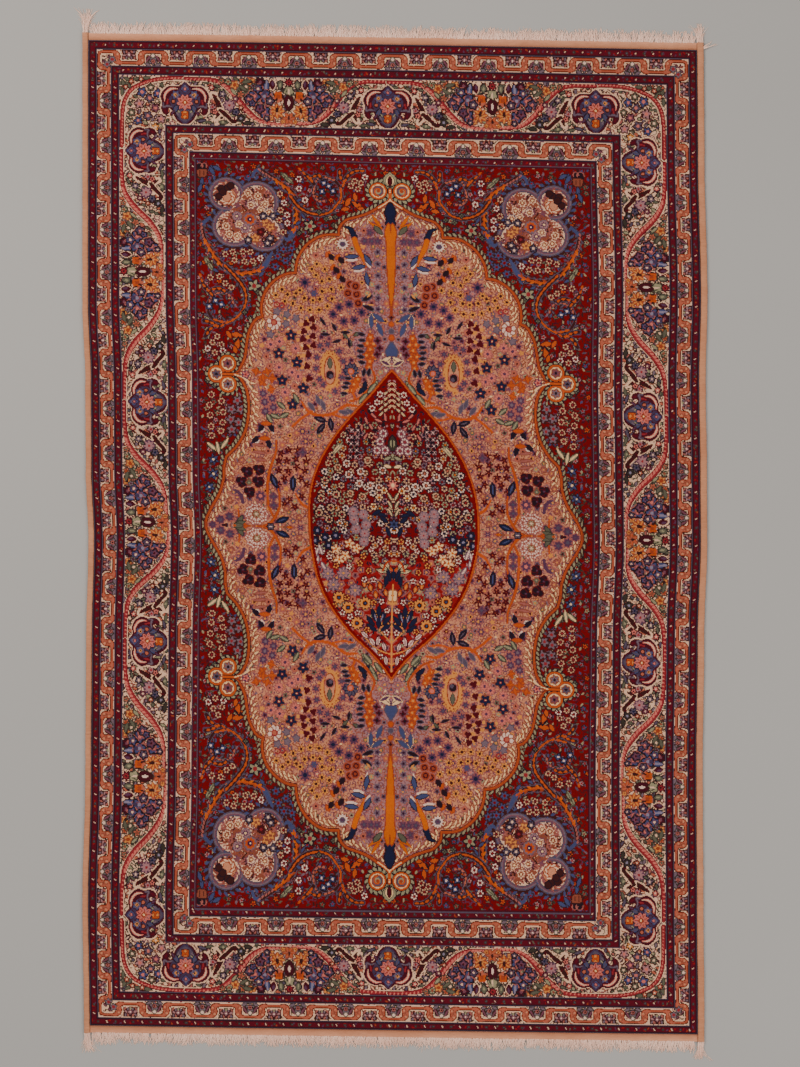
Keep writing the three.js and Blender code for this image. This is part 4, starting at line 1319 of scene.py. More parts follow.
def ogive(field, draw):
    """The crimson panel full of blossom: drawn upright, one side, then mirrored."""
    edge = spline(draw.place(OGIVE_EDGE))
    inside = held_by(field, np.vstack([edge, draw.place([(430, 677), (430, 371)])]))
    brush = Brush(field)
    for x, y, turn in ((374, 390, -52), (365, 400, -50), (381, 669, 52), (370, 660, 48)):
        draw.leaf(x - 3, y - 2, 13, 4.4, turn, "green", "moss", belly="sage")
    lively = inside & (field.y[:, None] > -30) & (field.y[:, None] < 108)
    foot = inside & (field.y[:, None] <= -30)
    field.dyes[inside] = DYE_NUMBER["crimson"]
    field.dyes[foot] = DYE_NUMBER["ruby"]
    sow(field, inside, 5.0, panel_speck, jitter=0.35, keep=0.85)
    sow(field, foot, 9.0, ground_blossom, jitter=0.3, keep=0.8)
    sow(field, lively, 8.6, panel_flower, jitter=0.22, keep=0.88)
    panel_top(draw)
    panel_middle(draw)
    panel_foot(draw)
    brush.ribbon(edge, 5.4, "crimson", where=inside)
    brush.ribbon(edge, 4.4, "rust", where=~inside)
    brush.ribbon(edge, 2.4, "flame", where=~inside)


def panel_top(draw):
    """Pale leaves in rows under the far tip, pink petals, then rings of small blossom."""
    for n in range(5):
        for step in range(min(1 + n, 3)):
            draw.leaf(388.8 - step * 4.4, 384 + n * 5.6 + step * 3.6, 6.8, 2.2, -40, "cream", "wine",
                      belly="sage" if step else "blush")
    for x, y, turn in ((379, 394, 100), (376, 402, 90), (371, 408, 100)):
        draw.floret(x, y, 3.2, "white", "ruby", 6, turn, "wine")
    blush_leaves = (
        (372, 415, 40), (365, 420, 70), (377, 420, 20), (370, 427, 60), (360, 428, 100), (379, 429, 50),
        (384, 417, 80), (364, 436, 120), (354, 434, 90), (375, 437, 30),
    )
    for x, y, turn in blush_leaves:
        draw.leaf(x, y, 8.2, 2.6, turn, "blush", "maroon", belly="pink")
    ink_leaves = (
        (368, 411, 60), (360, 420, 90), (374, 430, 10), (382, 424, 100), (357, 430, 120), (368, 441, 70),
        (352, 441, 80), (346, 432, 50),
    )
    for x, y, turn in ink_leaves:
        draw.leaf(x, y, 6.8, 3.2, turn, "ink")
    draw.fill([(AXIS, 435), (387, 441), (386.6, 447), (AXIS, 450)], "moss", "ink", 1.0)
    sage_leaf, long_leaf = (389.6, 443), (336, 448)
    draw.leaf(*sage_leaf, 8, 2.0, 90, "sage")
    for x, y in ((382, 433), (378.6, 441), (383.6, 450), (375.6, 450)):
        draw.floret(x, y, 4.0, "white", "rose", 8, 0, "mauve")
    for row in range(5):
        for x in (350.5, 356.5):
            draw.floret(x - row * 0.5, 430 + row * 6.6, 2.5, "lilac", "white", 4, 45, "ink")
    draw.leaf(*long_leaf, 14, 3.6, -50, "cream", "green", belly="sage")
    salmon_florets = (
        (359, 471), (368.5, 485), (357.5, 483), (347, 474), (381, 470), (377, 487), (345, 463), (366, 460),
        (336, 467), (348, 493), (360, 496),
    )
    for x, y in salmon_florets:
        draw.floret(x, y, 4.0, "white" if x % 2 else "sand", "salmon", 7, x * 7, "brown")
    for x, y, long, wide, turn, dye in ((386, 466, 9, 2.8, 12, "cream"), (386, 458, 8, 2.6, -20, "sage")):
        draw.leaf(x, y, long, wide, turn, dye, "moss")
    ink_discs = (
        (323, 480), (318.5, 497.5), (334, 494), (328, 507), (339, 514), (316, 512), (326, 519),
    )
    for x, y in ink_discs:
        draw.disc(x, y, 4.9, "ink")
        draw.floret(x, y, 4.0, "sand", "ruby", 7, x * 7)


def panel_middle(draw):
    """A pink rosette, a blue star with navy leaves, lilac clusters and cream stars."""
    draw.daisy(AXIS, 485, 5.4, 8, "pink", "cream", "maroon")
    for y in (496, 504, 512):
        draw.leaf(387.6, y, 8.0, 2.4, 62, "sage", "moss", belly="cream")
    for x, y in ((377, 497), (371, 506), (382, 490)):
        draw.floret(x, y, 3.5, "cream", "orange", 6, y * 7, "maroon")
    for x, y, turn in ((379, 514.5, 12), (374, 512, -30), (381, 519, 40), (385, 531, 70)):
        draw.leaf(x, y, 10.4, 3.2, turn, "navy", "ink")
    draw.daisy(AXIS, 524, 4.8, 6, "blue", "navy", "ink", turn=30)
    slate_rosettes = (
        (351, 519), (360.6, 514), (363, 524), (352.6, 528.6), (361.4, 533), (360.6, 541), (350.6, 511),
    )
    for x, y in slate_rosettes:
        draw.floret(x, y, 4.4, "lilac", "salmon", 8, 0, "haze")
        draw.disc(x, y, 2.4, "lilac")
        draw.disc(x, y, 0.9, "rose")
    for x, y in ((313.7, 530), (311.6, 540), (321.5, 537), (325, 545), (332, 535)):
        draw.daisy(x, y, 4.2, 6, "navy", "sky", "ink")
    for x, y in ((332.5, 548.5), (342, 555), (353, 548), (346, 543), (336, 559)):
        draw.lobes(x, y, 5.4, 5, 0.3, "rust", x * 11)
        draw.lobes(x, y, 5.0, 5, 0.66, "cream", x * 11)
        draw.disc(x, y, 1.3, "orange")
    for x, y, turn in ((317, 549, 70), (314, 560, 100), (320.6, 566, 60), (313, 552, 110)):
        draw.leaf(x, y, 10, 3.2, turn, "lilac", "slate", belly="white")
    for x, y in ((340.6, 572.5), (331, 584), (353, 589.6), (325, 573)):
        draw.lobes(x, y, 6.8, 8, 0.2, "slate")
        draw.lobes(x, y, 6.2, 8, 0.5, "lilac")
        draw.lobes(x, y, 3.4, 8, 0.5, "haze")
        draw.disc(x, y, 1.3, "gold")
    for turn in (196, 220, 244):
        c, s = cosd(turn), sind(turn)
        draw.leaf(389 + 11 * c, 573 + 10 * s, 11, 3.0, turn, "cream", "moss", belly="sage")
    draw.line([(380, 570), (384, 562), (AXIS, 560)], (2.0, "ruby"), (0.9, "flame"))
    for x, y, turn in ((AXIS, 573, 90), (386.6, 575, 74), (384, 580, 100)):
        draw.leaf(x, y, 12, 3.6, turn, "navy", "ink")
    flame_leaf = (388.6, 569)
    draw.leaf(*flame_leaf, 5, 2.4, 60, "flame")


def panel_foot(draw):
    """Orange bells, sunflowers, iris leaves and buds on a golden stalk."""
    for x, y in ((368.4, 587), (378, 585), (384, 592), (374, 594), (362, 583)):
        draw.leaf(x, y, 8.0, 4.4, 80, "flame", "maroon")
        draw.leaf(x, y + 0.6, 5, 2.0, 80, "gold")
    draw.fill([(387, 590), (397, 590), (397, 600), (387, 600)], "cream", "clay", 1.2, sharp=True)
    draw.disc(AXIS, 595, 1.6, "flame")
    draw.line([(AXIS, 584), (AXIS, 640), (AXIS, 679)], (2.4, "rust"), (1.3, "gold"))
    for path in ([(AXIS, 642), (383, 634), (378, 628)], [(AXIS, 654), (376, 648), (362, 634), (356, 626)],
                 [(AXIS, 626), (376, 612), (364, 604)], [(AXIS, 664), (384, 660), (378, 652)]):
        draw.line(path, (1.2, "gold"))
    for x, y in ((346.6, 607), (363.7, 602.6), (356, 622.5), (337, 597)):
        draw.lobes(x, y, 7.0, 10, 0.12, "maroon")
        draw.lobes(x, y, 6.4, 10, 0.3, "gold")
        draw.disc(x, y, 2.9, "orange")
        draw.disc(x, y, 2.3, "ink")
        draw.disc(x, y, 1.0, "blue")
    navy_leaves = (
        (377.8, 611, 90), (372.6, 614, 74), (383, 614, 106), (369.4, 620, 50), (385.6, 620, 130),
        (377.8, 622, 90), (371, 627, 35), (385, 627, 145),
    )
    for x, y, turn in navy_leaves:
        draw.leaf(x, y, 12, 3.6, turn, "navy", "ink")
    for x, y, turn in ((374.6, 617, 76), (381, 617, 104)):
        draw.leaf(x, y, 8, 1.4, turn, "sky")
    white_leaves = (
        (371.5, 641, 55), (383.6, 646, 75), (385.4, 660, 80), (364, 634, 40), (377.6, 640, 100),
        (374, 650, 50),
    )
    for x, y, turn in white_leaves:
        draw.leaf(x, y, 9.8, 3.6, turn, "white", "maroon", belly="lilac")
    ruby_florets = (
        (333, 565), (357, 563), (362, 579), (345, 597), (356, 612), (366, 629), (372, 602), (386, 610),
        (386, 632), (349, 616), (341, 612), (384, 541), (346, 566), (368, 549), (377, 541), (326, 556),
        (347, 624), (366, 570), (360, 556), (371, 579), (322, 590), (333, 605), (380, 601), (385, 670),
        (380, 656),
    )
    for x, y in ruby_florets:
        draw.floret(x, y, 2.9, "white" if x % 3 else "gold", "ruby", 5, x * 5, "wine")


def panel_speck(brush, x, y, turn):
    """A leaf, petal or dot between the panel's flowers."""
    dye = ("navy", "sage", "ink", "green", "lilac", "wine", "ink", "blush", "navy", "wine")[int(turn * 10)]
    brush.leaf(x, y, 4.4, 1.8, turn * 720, dye)


def panel_flower(brush, x, y, turn):
    """A small open blossom."""
    dye = ("white", "sand", "haze", "lilac", "sage", "sand")[int(turn * 6)]
    brush.floret(x, y, 3.3, dye, ("ruby", "orange", "navy")[int(turn * 18) % 3], 6, turn * 90,
                 ("maroon", "ink", "wine")[int(turn * 12) % 3])


def draw_cartoon():
    """The whole rug, knot for knot."""
    whole = Cartoon((-HALF_ACROSS, HALF_ACROSS), (-HALF_ALONG, HALF_ALONG), "crimson")
    for name in ("outer meander", "inner meander"):
        meander(whole, name)
    main_border(whole)
    for name in ("outer guard", "second guard", "third guard", "inner guard"):
        guard(whole, name, name == "inner guard")

    # One quarter of the field, drawn from the rulers, then its mirrored copies.
    half = Cartoon((0, FIELD_HALF_ACROSS + 4), (-FIELD_HALF_ALONG - 4, FIELD_HALF_ALONG + 4), "crimson")
    draw = Rulers(half, (0, 0), (-1, 0), (0, -1))
    red_field(half, draw)
    medallion(half, draw)
    far = half.dyes[len(half.y) // 2:]
    half.dyes[:len(far)] = far[::-1]
    ogive(half, draw)
    field = np.hstack([half.dyes[:, ::-1], half.dyes])

    # Set the field between the borders, its middle a little off the rug's own.
    inside_x = np.abs(whole.x) < FIELD_HALF_ACROSS
    inside_y = np.abs(whole.y) < FIELD_HALF_ALONG
    r = np.searchsorted(half.y, whole.y[inside_y])
    off = whole.x[inside_x] + RULER_MIDDLE[0] - AXIS
    c = np.searchsorted(half.x, np.abs(off)) * np.sign(off)
    c = (c + field.shape[1] // 2).astype(int)
    c = np.clip(c, 0, field.shape[1] - 1)
    whole.dyes[np.ix_(np.flatnonzero(inside_y), np.flatnonzero(inside_x))] = field[np.ix_(r, c)]
    return whole


# ---- the rug's shape --------------------------------------------------------------
HALF_WIDTH = 686.0
PILE_THICKNESS = 8.0
PILE_SHOULDER = 5.4
SHOULDER_WIDTH = 4.0
WEAR_DEPTH = 0.45
KILIM_THICKNESS = 2.8
KILIM_LENGTH = 17.0
SELVEDGE_THICKNESS = 6.4
CLEARANCE = 0.3

# Where the rug's outer sides run: distance along it, then the left and right side.
SIDES = np.array([
    (-1190, -697.0, 699.0), (-1100, -697.5, 698.6), (-820, -701.0, 696.4), (-549, -694.5, 694.6),
    (-234, -692.5, 698.0), (-9, -687.5, 705.0), (150, -693.5, 704.0), (350, -694.5, 701.5),
    (531, -701.0, 705.4), (860, -701.0, 698.6), (1190, -700.9, 696.4),
])
SELVEDGE_WIDTHS = {"left": 13.6, "right": 15.6}

# The pile's last rows: height at the left, at the right, and how far the middle bows.
END_ROWS = {"far": (1114.9, 1092.4, 1.2), "near": (-1100.3, -1120.5, -0.8)}


def eased(value, stations, column):
    """Smoothstep from one station's figure to the next."""
    at = stations[:, 0]
    k = np.clip(np.searchsorted(at, value) - 1, 0, len(at) - 2)
    t = np.clip((value - at[k]) / (at[k + 1] - at[k]), 0, 1)
    t = t * t * (3 - 2 * t)
    return stations[k, column] * (1 - t) + stations[k + 1, column] * t


def pile_side(y, side):
    """Where the knots end on a side: inside its overcast cord."""
    if side == "left":
        return eased(y, SIDES, 1) + SELVEDGE_WIDTHS["left"] + CLEARANCE
    return eased(y, SIDES, 2) - SELVEDGE_WIDTHS["right"] - CLEARANCE


def end_row(s, end):
    left, right, bow = END_ROWS[end]
    return left + (right - left) * s + bow * 4 * s * (1 - s)


def pile_point(s, t):
    """Place on the rug of the knot s of the way across and t of the way along:
    y = near row + t' (far row - near row) - (slant - straight slant) x, where t' is t
    with the rows' drift, and x lies between the two sides at that y."""
    row = (2 * t - 1) * HALF_ALONG
    drifted = t + np.interp(row, *ROW_DRIFT.T) / (2 * HALF_ALONG)
    near, far = end_row(s, "near"), end_row(s, "far")
    y = near + drifted * (far - near)
    straight = 0.0147 + (0.0164 - 0.0147) * t
    extra = np.interp(row, *ROW_SLANT.T) - straight
    y = y - extra * (2 * s - 1) * HALF_WIDTH
    left, right = pile_side(y, "left"), pile_side(y, "right")
    return left + (right - left) * s, y


def pile_height(x, y):
    """Worn a little in broad patches: a product and a sum of sines."""
    wear = 0.6 * np.sin(x / 190 + 0.6) * np.sin(y / 260 + 1.1) + 0.4 * np.sin(x / 83 + y / 140)
    return PILE_THICKNESS + WEAR_DEPTH * wear


def pile_top(s, t, x, y):
    """Full height inside, rolled down to the shoulder over the last few millimetres."""
    edge = np.minimum(np.minimum(s, 1 - s) * 2 * HALF_WIDTH, np.minimum(t, 1 - t) * 2214)
    roll = np.clip(edge / SHOULDER_WIDTH, 0, 1)
    roll = np.sqrt(1 - (1 - roll) ** 2)
    return PILE_SHOULDER + (pile_height(x, y) - PILE_SHOULDER) * roll


# The frame is centred on its bounding box, so the drawing moves with its pile.
_outline_s = np.r_[np.linspace(0, 1, 200), np.ones(200), np.linspace(1, 0, 200), np.zeros(200)]
_outline_t = np.r_[np.zeros(200), np.linspace(0, 1, 200), np.ones(200), np.linspace(1, 0, 200)]
_outline = np.stack(pile_point(_outline_s, _outline_t), 1)
_pile_low, _pile_high = (np.array(corner)[:2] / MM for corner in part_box("pile"))
SHIFT = (_pile_low + _pile_high) / 2 - (_outline.min(0) + _outline.max(0)) / 2


def placed(x, y, z):
    """Millimetres of the drawing as metres of the frame."""
    return np.stack([x + SHIFT[0], y + SHIFT[1], z], -1) * MM


# ---- meshes -----------------------------------------------------------------------
def mesh_piece(name, points, faces, material, smooth=True, colours=None, maps=None):
    """A piece from arrays: points (n, 3), faces (m, 3 or 4), a colour a face, and maps
    of one (m, corners, 2) array each."""
    mesh = bpy.data.meshes.new(name)
    count, corners = faces.shape
    mesh.vertices.add(len(points))
    mesh.vertices.foreach_set("co", np.ascontiguousarray(points, np.float32).ravel())
    mesh.loops.add(count * corners)
    mesh.loops.foreach_set("vertex_index", np.ascontiguousarray(faces, np.int32).ravel())
    mesh.polygons.add(count)
    mesh.polygons.foreach_set("loop_start", np.arange(0, count * corners, corners, dtype=np.int32))
    mesh.polygons.foreach_set("use_smooth", np.full(count, smooth))
    for title, spots in (maps or {}).items():
        layer = mesh.uv_layers.new(name=title)
        layer.uv.foreach_set("vector", np.ascontiguousarray(spots, np.float32).ravel())
    mesh.update(calc_edges=True)
    if colours is not None:
        layer = mesh.attributes.new("wool", "FLOAT_COLOR", "FACE")
        solid = np.ones((count, 4), np.float32)
        solid[:, :3] = colours
        layer.data.foreach_set("color", solid.ravel())
    mesh.validate()
    piece = bpy.data.objects.new(name, mesh)
    bpy.context.scene.collection.objects.link(piece)
    piece.data.materials.append(material)
    return piece


def grid_faces(rows, columns):
    """Quads between neighbouring points of a grid stored row by row."""
    first = (np.arange(rows - 1)[:, None] * columns + np.arange(columns - 1)[None, :]).ravel()
    return np.stack([first, first + 1, first + columns + 1, first + columns], 1)


def linear(colour):
    """Display RGB (0 to 255) as light: ((c + 0.055) / 1.055) ** 2.4 above the toe."""
    c = np.asarray(colour, float) / 255
    return np.where(c <= 0.04045, c / 12.92, ((c + 0.055) / 1.055) ** 2.4)


# ---- materials --------------------------------------------------------------------
class Socket:
    """An output of a shader node; arithmetic on it adds math nodes."""

    def __init__(self, shader, output):
        self.shader, self.output = shader, output

    def math(self, operation, *others):
        return self.shader.node("ShaderNodeMath", {"operation": operation},
                                {n: value for n, value in enumerate((self, *others))})

    def __add__(self, other):
        return self.math("ADD", other)

    def __sub__(self, other):
        return self.math("SUBTRACT", other)

    def __mul__(self, other):
        return self.math("MULTIPLY", other)

    def __rsub__(self, other):
        return self.shader.node("ShaderNodeMath", {"operation": "SUBTRACT"}, {0: other, 1: self})

    __radd__ = __add__
    __rmul__ = __mul__


class Shader:
    """A material whose nodes are made by calls, ending in one Principled BSDF."""

    def __init__(self, name, constants):
        self.material = bpy.data.materials.new(name)
        self.material.use_nodes = True
        self.tree = self.material.node_tree
        self.tree.nodes.clear()
        self.surface = self.tree.nodes.new("ShaderNodeBsdfPrincipled")
        end = self.tree.nodes.new("ShaderNodeOutputMaterial")
        self.tree.links.new(self.surface.outputs[0], end.inputs["Surface"])
        for title, value in constants.items():
            self.surface.inputs[title].default_value = value

    def node(self, kind, settings=None, inputs=None, output=0):
        made = self.tree.nodes.new(kind)
        for title, value in (settings or {}).items():
            setattr(made, title, value)
        for title, value in (inputs or {}).items():
            if isinstance(value, Socket):
                self.tree.links.new(value.output, made.inputs[title])
            else:
                made.inputs[title].default_value = value
        return Socket(self, made.outputs[output])

    def mix(self, share, first, second, blend="MIX"):
        """Two colours mixed: share of the second."""
        made = self.tree.nodes.new("ShaderNodeMix")
        made.data_type, made.blend_type = "RGBA", blend
        for place, value in ((0, share), (6, first), (7, second)):
            if isinstance(value, Socket):
                self.tree.links.new(value.output, made.inputs[place])
            elif place:
                made.inputs[place].default_value = (*value, 1)
            else:
                made.inputs[place].default_value = value
        return Socket(self, made.outputs[2])

    def scaled(self, colour, value):
        """A colour times a number."""
        return self.node("ShaderNodeVectorMath", {"operation": "SCALE"}, {0: colour, "Scale": value})

    def noise(self, where, scale, detail=2.0, roughness=0.5):
        return self.node("ShaderNodeTexNoise", None, {"Vector": where, "Scale": scale, "Detail": detail,
                                                      "Roughness": roughness})

    def stretched(self, where, x, y, z):
        return self.node("ShaderNodeVectorMath", {"operation": "MULTIPLY"}, {0: where, 1: (x, y, z)})

    def place(self):
        return self.node("ShaderNodeTexCoord", output=3)

    def drive(self, title, value):
        self.tree.links.new(value.output, self.surface.inputs[title])

    def bumped(self, height, distance, strength=1.0):
        sockets = {"Height": height, "Distance": distance, "Strength": strength}
        self.drive("Normal", self.node("ShaderNodeBump", None, sockets))


def wool_pile(name, grain=1.0):
    """Knot by knot: each a little lighter or darker, its tuft rounded and fibrous."""
    shader = Shader(name, {"Roughness": 0.95, "Specular IOR Level": 0.05, "Sheen Weight": 0.03,
                           "Sheen Roughness": 0.6})
    wool = shader.node("ShaderNodeAttribute", {"attribute_name": "wool"})
    knots = shader.node("ShaderNodeUVMap", {"uv_map": "Knots"})
    knot = shader.node("ShaderNodeVectorMath", {"operation": "FLOOR"}, {0: knots})
    chance = shader.node("ShaderNodeTexWhiteNoise", {"noise_dimensions": "2D"}, {"Vector": knot})
    where = shader.place()
    patches = shader.noise(where, 9.0, 3.0, 0.6)
    fibres = shader.noise(where, 900.0, 2.0, 0.7)
    tone = 0.635 + 0.13 * grain * (chance - 0.5) + 0.12 * patches + 0.12 * (fibres - 0.5)
    shader.drive("Base Color", shader.scaled(wool, tone))
    within = shader.node("ShaderNodeVectorMath", {"operation": "FRACTION"}, {0: knots})
    from_middle = shader.node("ShaderNodeVectorMath", {"operation": "DISTANCE"},
                              {0: within, 1: (0.5, 0.5, 0)}, output=1)
    shader.bumped(0.55 * chance + 0.9 * fibres - 1.1 * from_middle, 0.0005, 0.8)
    return shader.material


def wrapped_wool():
    """Side cords overcast in tan wool: cross ribs with painted shade in the grooves between them, and paler
    where hands have worn it.
    """
    shader = Shader("overcast_wool", {"Roughness": 0.95, "Specular IOR Level": 0.05, "Sheen Weight": 0.02})
    where = shader.place()
    ribs = shader.noise(shader.stretched(where, 60.0, 420.0, 60.0), 1.0, 3.0, 0.6)
    patches = shader.noise(where, 14.0, 3.0, 0.6)
    tint = shader.mix(patches, linear((166, 104, 74)), linear((202, 142, 108)))
    # The colour follows the ribs' height: painted shade in the grooves, lighter on the crests.
    shader.drive("Base Color", shader.scaled(tint, 0.58 + 0.52 * ribs))
    shader.bumped(ribs, 0.0012, 0.8)
    return shader.material


def plain_cotton(name, low, high, along, across, shaded=False):
    """Warp cotton: fine threads one way with painted shade between them, uneven and a little
    soiled, and darker where its faces say so."""
    shader = Shader(name, {"Roughness": 0.95, "Specular IOR Level": 0.05, "Sheen Weight": 0.02})
    where = shader.place()
    threads = shader.noise(shader.stretched(where, across, along, 200.0), 1.0, 2.0, 0.6)
    patches = shader.noise(where, 11.0, 4.0, 0.65)
    tint = shader.mix(patches, linear(low), linear(high))
    if shaded:
        # The faces' colour multiplies in: on the flat-woven bands it is painted shade beside the pile.
        shade = shader.node("ShaderNodeAttribute", {"attribute_name": "wool"})
        tint = shader.mix(1.0, tint, shade, "MULTIPLY")
    # The colour follows the threads' height: painted shade between the threads.
    shader.drive("Base Color", shader.scaled(tint, 0.76 + 0.48 * threads))
    shader.bumped(threads, 0.0008, 0.7)
    return shader.material


# ---- knots into faces -------------------------------------------------------------
LONGEST_RUN = 12
ROW_KEY = 100000


def rectangles(dyes, longest=LONGEST_RUN):
    """Blocks of one dye: runs along each row, then equal runs of following rows joined.
    Returns their first and last columns and rows, and the dye."""
    rows, columns = dyes.shape
    starts = np.ones(dyes.shape, bool)
    starts[:, 1:] = dyes[:, 1:] != dyes[:, :-1]
    starts[:, ::longest] = True
    row, first = np.nonzero(starts)
    following = np.r_[first[1:], columns]
    last = np.where(np.r_[row[1:], rows] == row, following, columns)
    dye = dyes[row, first]
    order = np.lexsort((row, row // longest, last, first))
    row, first, last, dye = row[order], first[order], last[order], dye[order]
    joined = ((row[1:] == row[:-1] + 1) & (first[1:] == first[:-1]) & (last[1:] == last[:-1])
              & (dye[1:] == dye[:-1]) & (row[1:] % longest != 0))
    heads = np.flatnonzero(np.r_[True, ~joined])
    tails = np.r_[heads[1:], len(row)] - 1
    return first[heads], last[heads], row[heads], row[tails] + 1, dye[heads]


# Margins of a piece in its map, in knots: round it, and between its folds.
MAP_MARGIN = 2
FOLD_GAP = 3


def knot_piece(name, dyes, colours, material, columns, step=1, height=None, folds=3):
    """A piece of the pile: the cartoon's knots between two columns, as one face a block."""
    c0, c1 = columns
    x0, x1, y0, y1, dye = rectangles(dyes[:, c0:c1])
    x0, x1 = x0 + c0, x1 + c0
    corner_x = np.stack([x0, x1, x1, x0], 1)
    corner_y = np.stack([y0, y0, y1, y1], 1)
    ids, faces = np.unique(corner_y.astype(np.int64) * ROW_KEY + corner_x, return_inverse=True)
    faces = faces.reshape(corner_x.shape)
    column, row = ids % ROW_KEY, ids // ROW_KEY
    s, t = column / dyes.shape[1], row / dyes.shape[0]
    x, y = pile_point(s, t)
    z = pile_top(s, t, x, y) if height is None else np.full(len(x), height)
    middle_x, middle_y = (x0 + x1) / 2 * step, (y0 + y1) / 2 * step
    tint = colours(dye, middle_x, middle_y)
    fold_rows = -(-dyes.shape[0] // (folds * LONGEST_RUN)) * LONGEST_RUN
    fold = y0 // fold_rows
    fold_wide = c1 - c0 + FOLD_GAP
    span = max(fold_rows, folds * fold_wide) + 2 * MAP_MARGIN
    sheet_map = np.stack([(corner_x - c0 + MAP_MARGIN + fold[:, None] * fold_wide) / span,
                          (corner_y - fold[:, None] * fold_rows + MAP_MARGIN) / span], -1)
    knots_map = np.stack([corner_x * step, corner_y * step], -1)
    if height is not None:
        faces, sheet_map, knots_map = faces[:, ::-1], sheet_map[:, ::-1], knots_map[:, ::-1]
    piece = mesh_piece(name, placed(x, y, z), faces, material, colours=tint,
                       maps={"Knots": knots_map, "OFBake": sheet_map})
    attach(piece, "root")
    return piece


# Dye baths follow each other every so many rows, a little lighter or darker.
BATHS = 50
BATH_ROWS = 26
BATH_SPREAD = 0.035
WEFTS = 1400
WEFT_SPREAD = 0.02


def knot_colours(dye, column, row):
    """Dyes as light, with bands of slightly other dye baths across the rug and wear."""
    palette = linear(np.array(list(DYES.values())))
    chance = np.random.default_rng(11)
    bath = np.interp(row, np.arange(BATHS) * BATH_ROWS, chance.normal(0, BATH_SPREAD, BATHS))
    weft = chance.normal(0, WEFT_SPREAD, WEFTS)[row.astype(int)]
    cloud = 0.03 * np.sin(column / 61 + 1.7 * np.sin(row / 93)) * np.sin(row / 47 + 0.8)
    return palette[dye] * (1 + bath + weft + cloud)[:, None]


whole = draw_cartoon()
pile_wool = wool_pile("pile_wool")
PILE_STRIPS = 7
cuts = np.round(np.linspace(0, whole.dyes.shape[1], PILE_STRIPS + 1)).astype(int)
for n in range(PILE_STRIPS):
    strip = knot_piece(f"pile_{n + 1}", whole.dyes, knot_colours, pile_wool, (cuts[n], cuts[n + 1]))
    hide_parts("pile")


# ---- back and edges of the knotted part ---------------------------------------------
def back_colours(dye, column, row):
    """The knots' backs: a little paler and greyer than the pile."""
    bright = knot_colours(dye, column, row)
    grey = bright.mean(1, keepdims=True)
    return 0.72 * bright + 0.16 * grey + 0.035


def coarser(dyes, step):
    """Blocks of knots, each in the dye that most of its knots have."""
    rows, columns = (length // step for length in dyes.shape)
    blocks = dyes[:rows * step, :columns * step].reshape(rows, step, columns, step)
    counts = [(blocks == number).sum((1, 3)) for number in range(len(DYES))]
    return np.argmax(counts, 0).astype(np.uint8)


BACK_STEP = 4
BACK_HEIGHT = 0.4
WALL_STEPS = 600
back_wool = wool_pile("back_wool", grain=1.6)
coarse = coarser(whole.dyes, BACK_STEP)
back = knot_piece("back", coarse, back_colours, back_wool, (0, coarse.shape[1]),
                  step=BACK_STEP, height=BACK_HEIGHT, folds=1)
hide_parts("pile")


def pile_wall():
    """The cut edge all round the pile, from its shoulder down to the back."""
    u = np.linspace(0, 4, 4 * WALL_STEPS + 1)[:-1]
    side, share = u.astype(int), u % 1
    s = np.choose(side, [share, np.ones_like(u), 1 - share, np.zeros_like(u)])
    t = np.choose(side, [np.zeros_like(u), share, np.ones_like(u), 1 - share])
    x, y = pile_point(s, t)
    top = placed(x, y, np.full_like(x, PILE_SHOULDER))
    foot = placed(x, y, np.full_like(x, BACK_HEIGHT))
    points = np.vstack([foot, top])
    a = np.arange(len(u))
    b = np.roll(a, -1)
    faces = np.stack([a, b, b + len(u), a + len(u)], 1)
    tint = linear(np.array([DYES["wine"]])) * (0.5 + 0.3 * np.sin(a * 0.9)[:, None] ** 2)
    place = np.stack([np.stack([a * 0.7, a * 0 + h], -1) for h in (0, 0, 3, 3)], 1)
    wall = mesh_piece("pile_edge", points, faces, pile_wool, colours=tint, maps={"Knots": place})
    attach(wall, "root")
    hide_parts("pile")
    return wall


pile_wall()


# ---- overcast sides -------------------------------------------------------------------
def kilim_edge(s, end):
    outward = 1 if end == "far" else -1
    return end_row(s, end) + outward * KILIM_LENGTH


WRAP_PITCH = 8.2


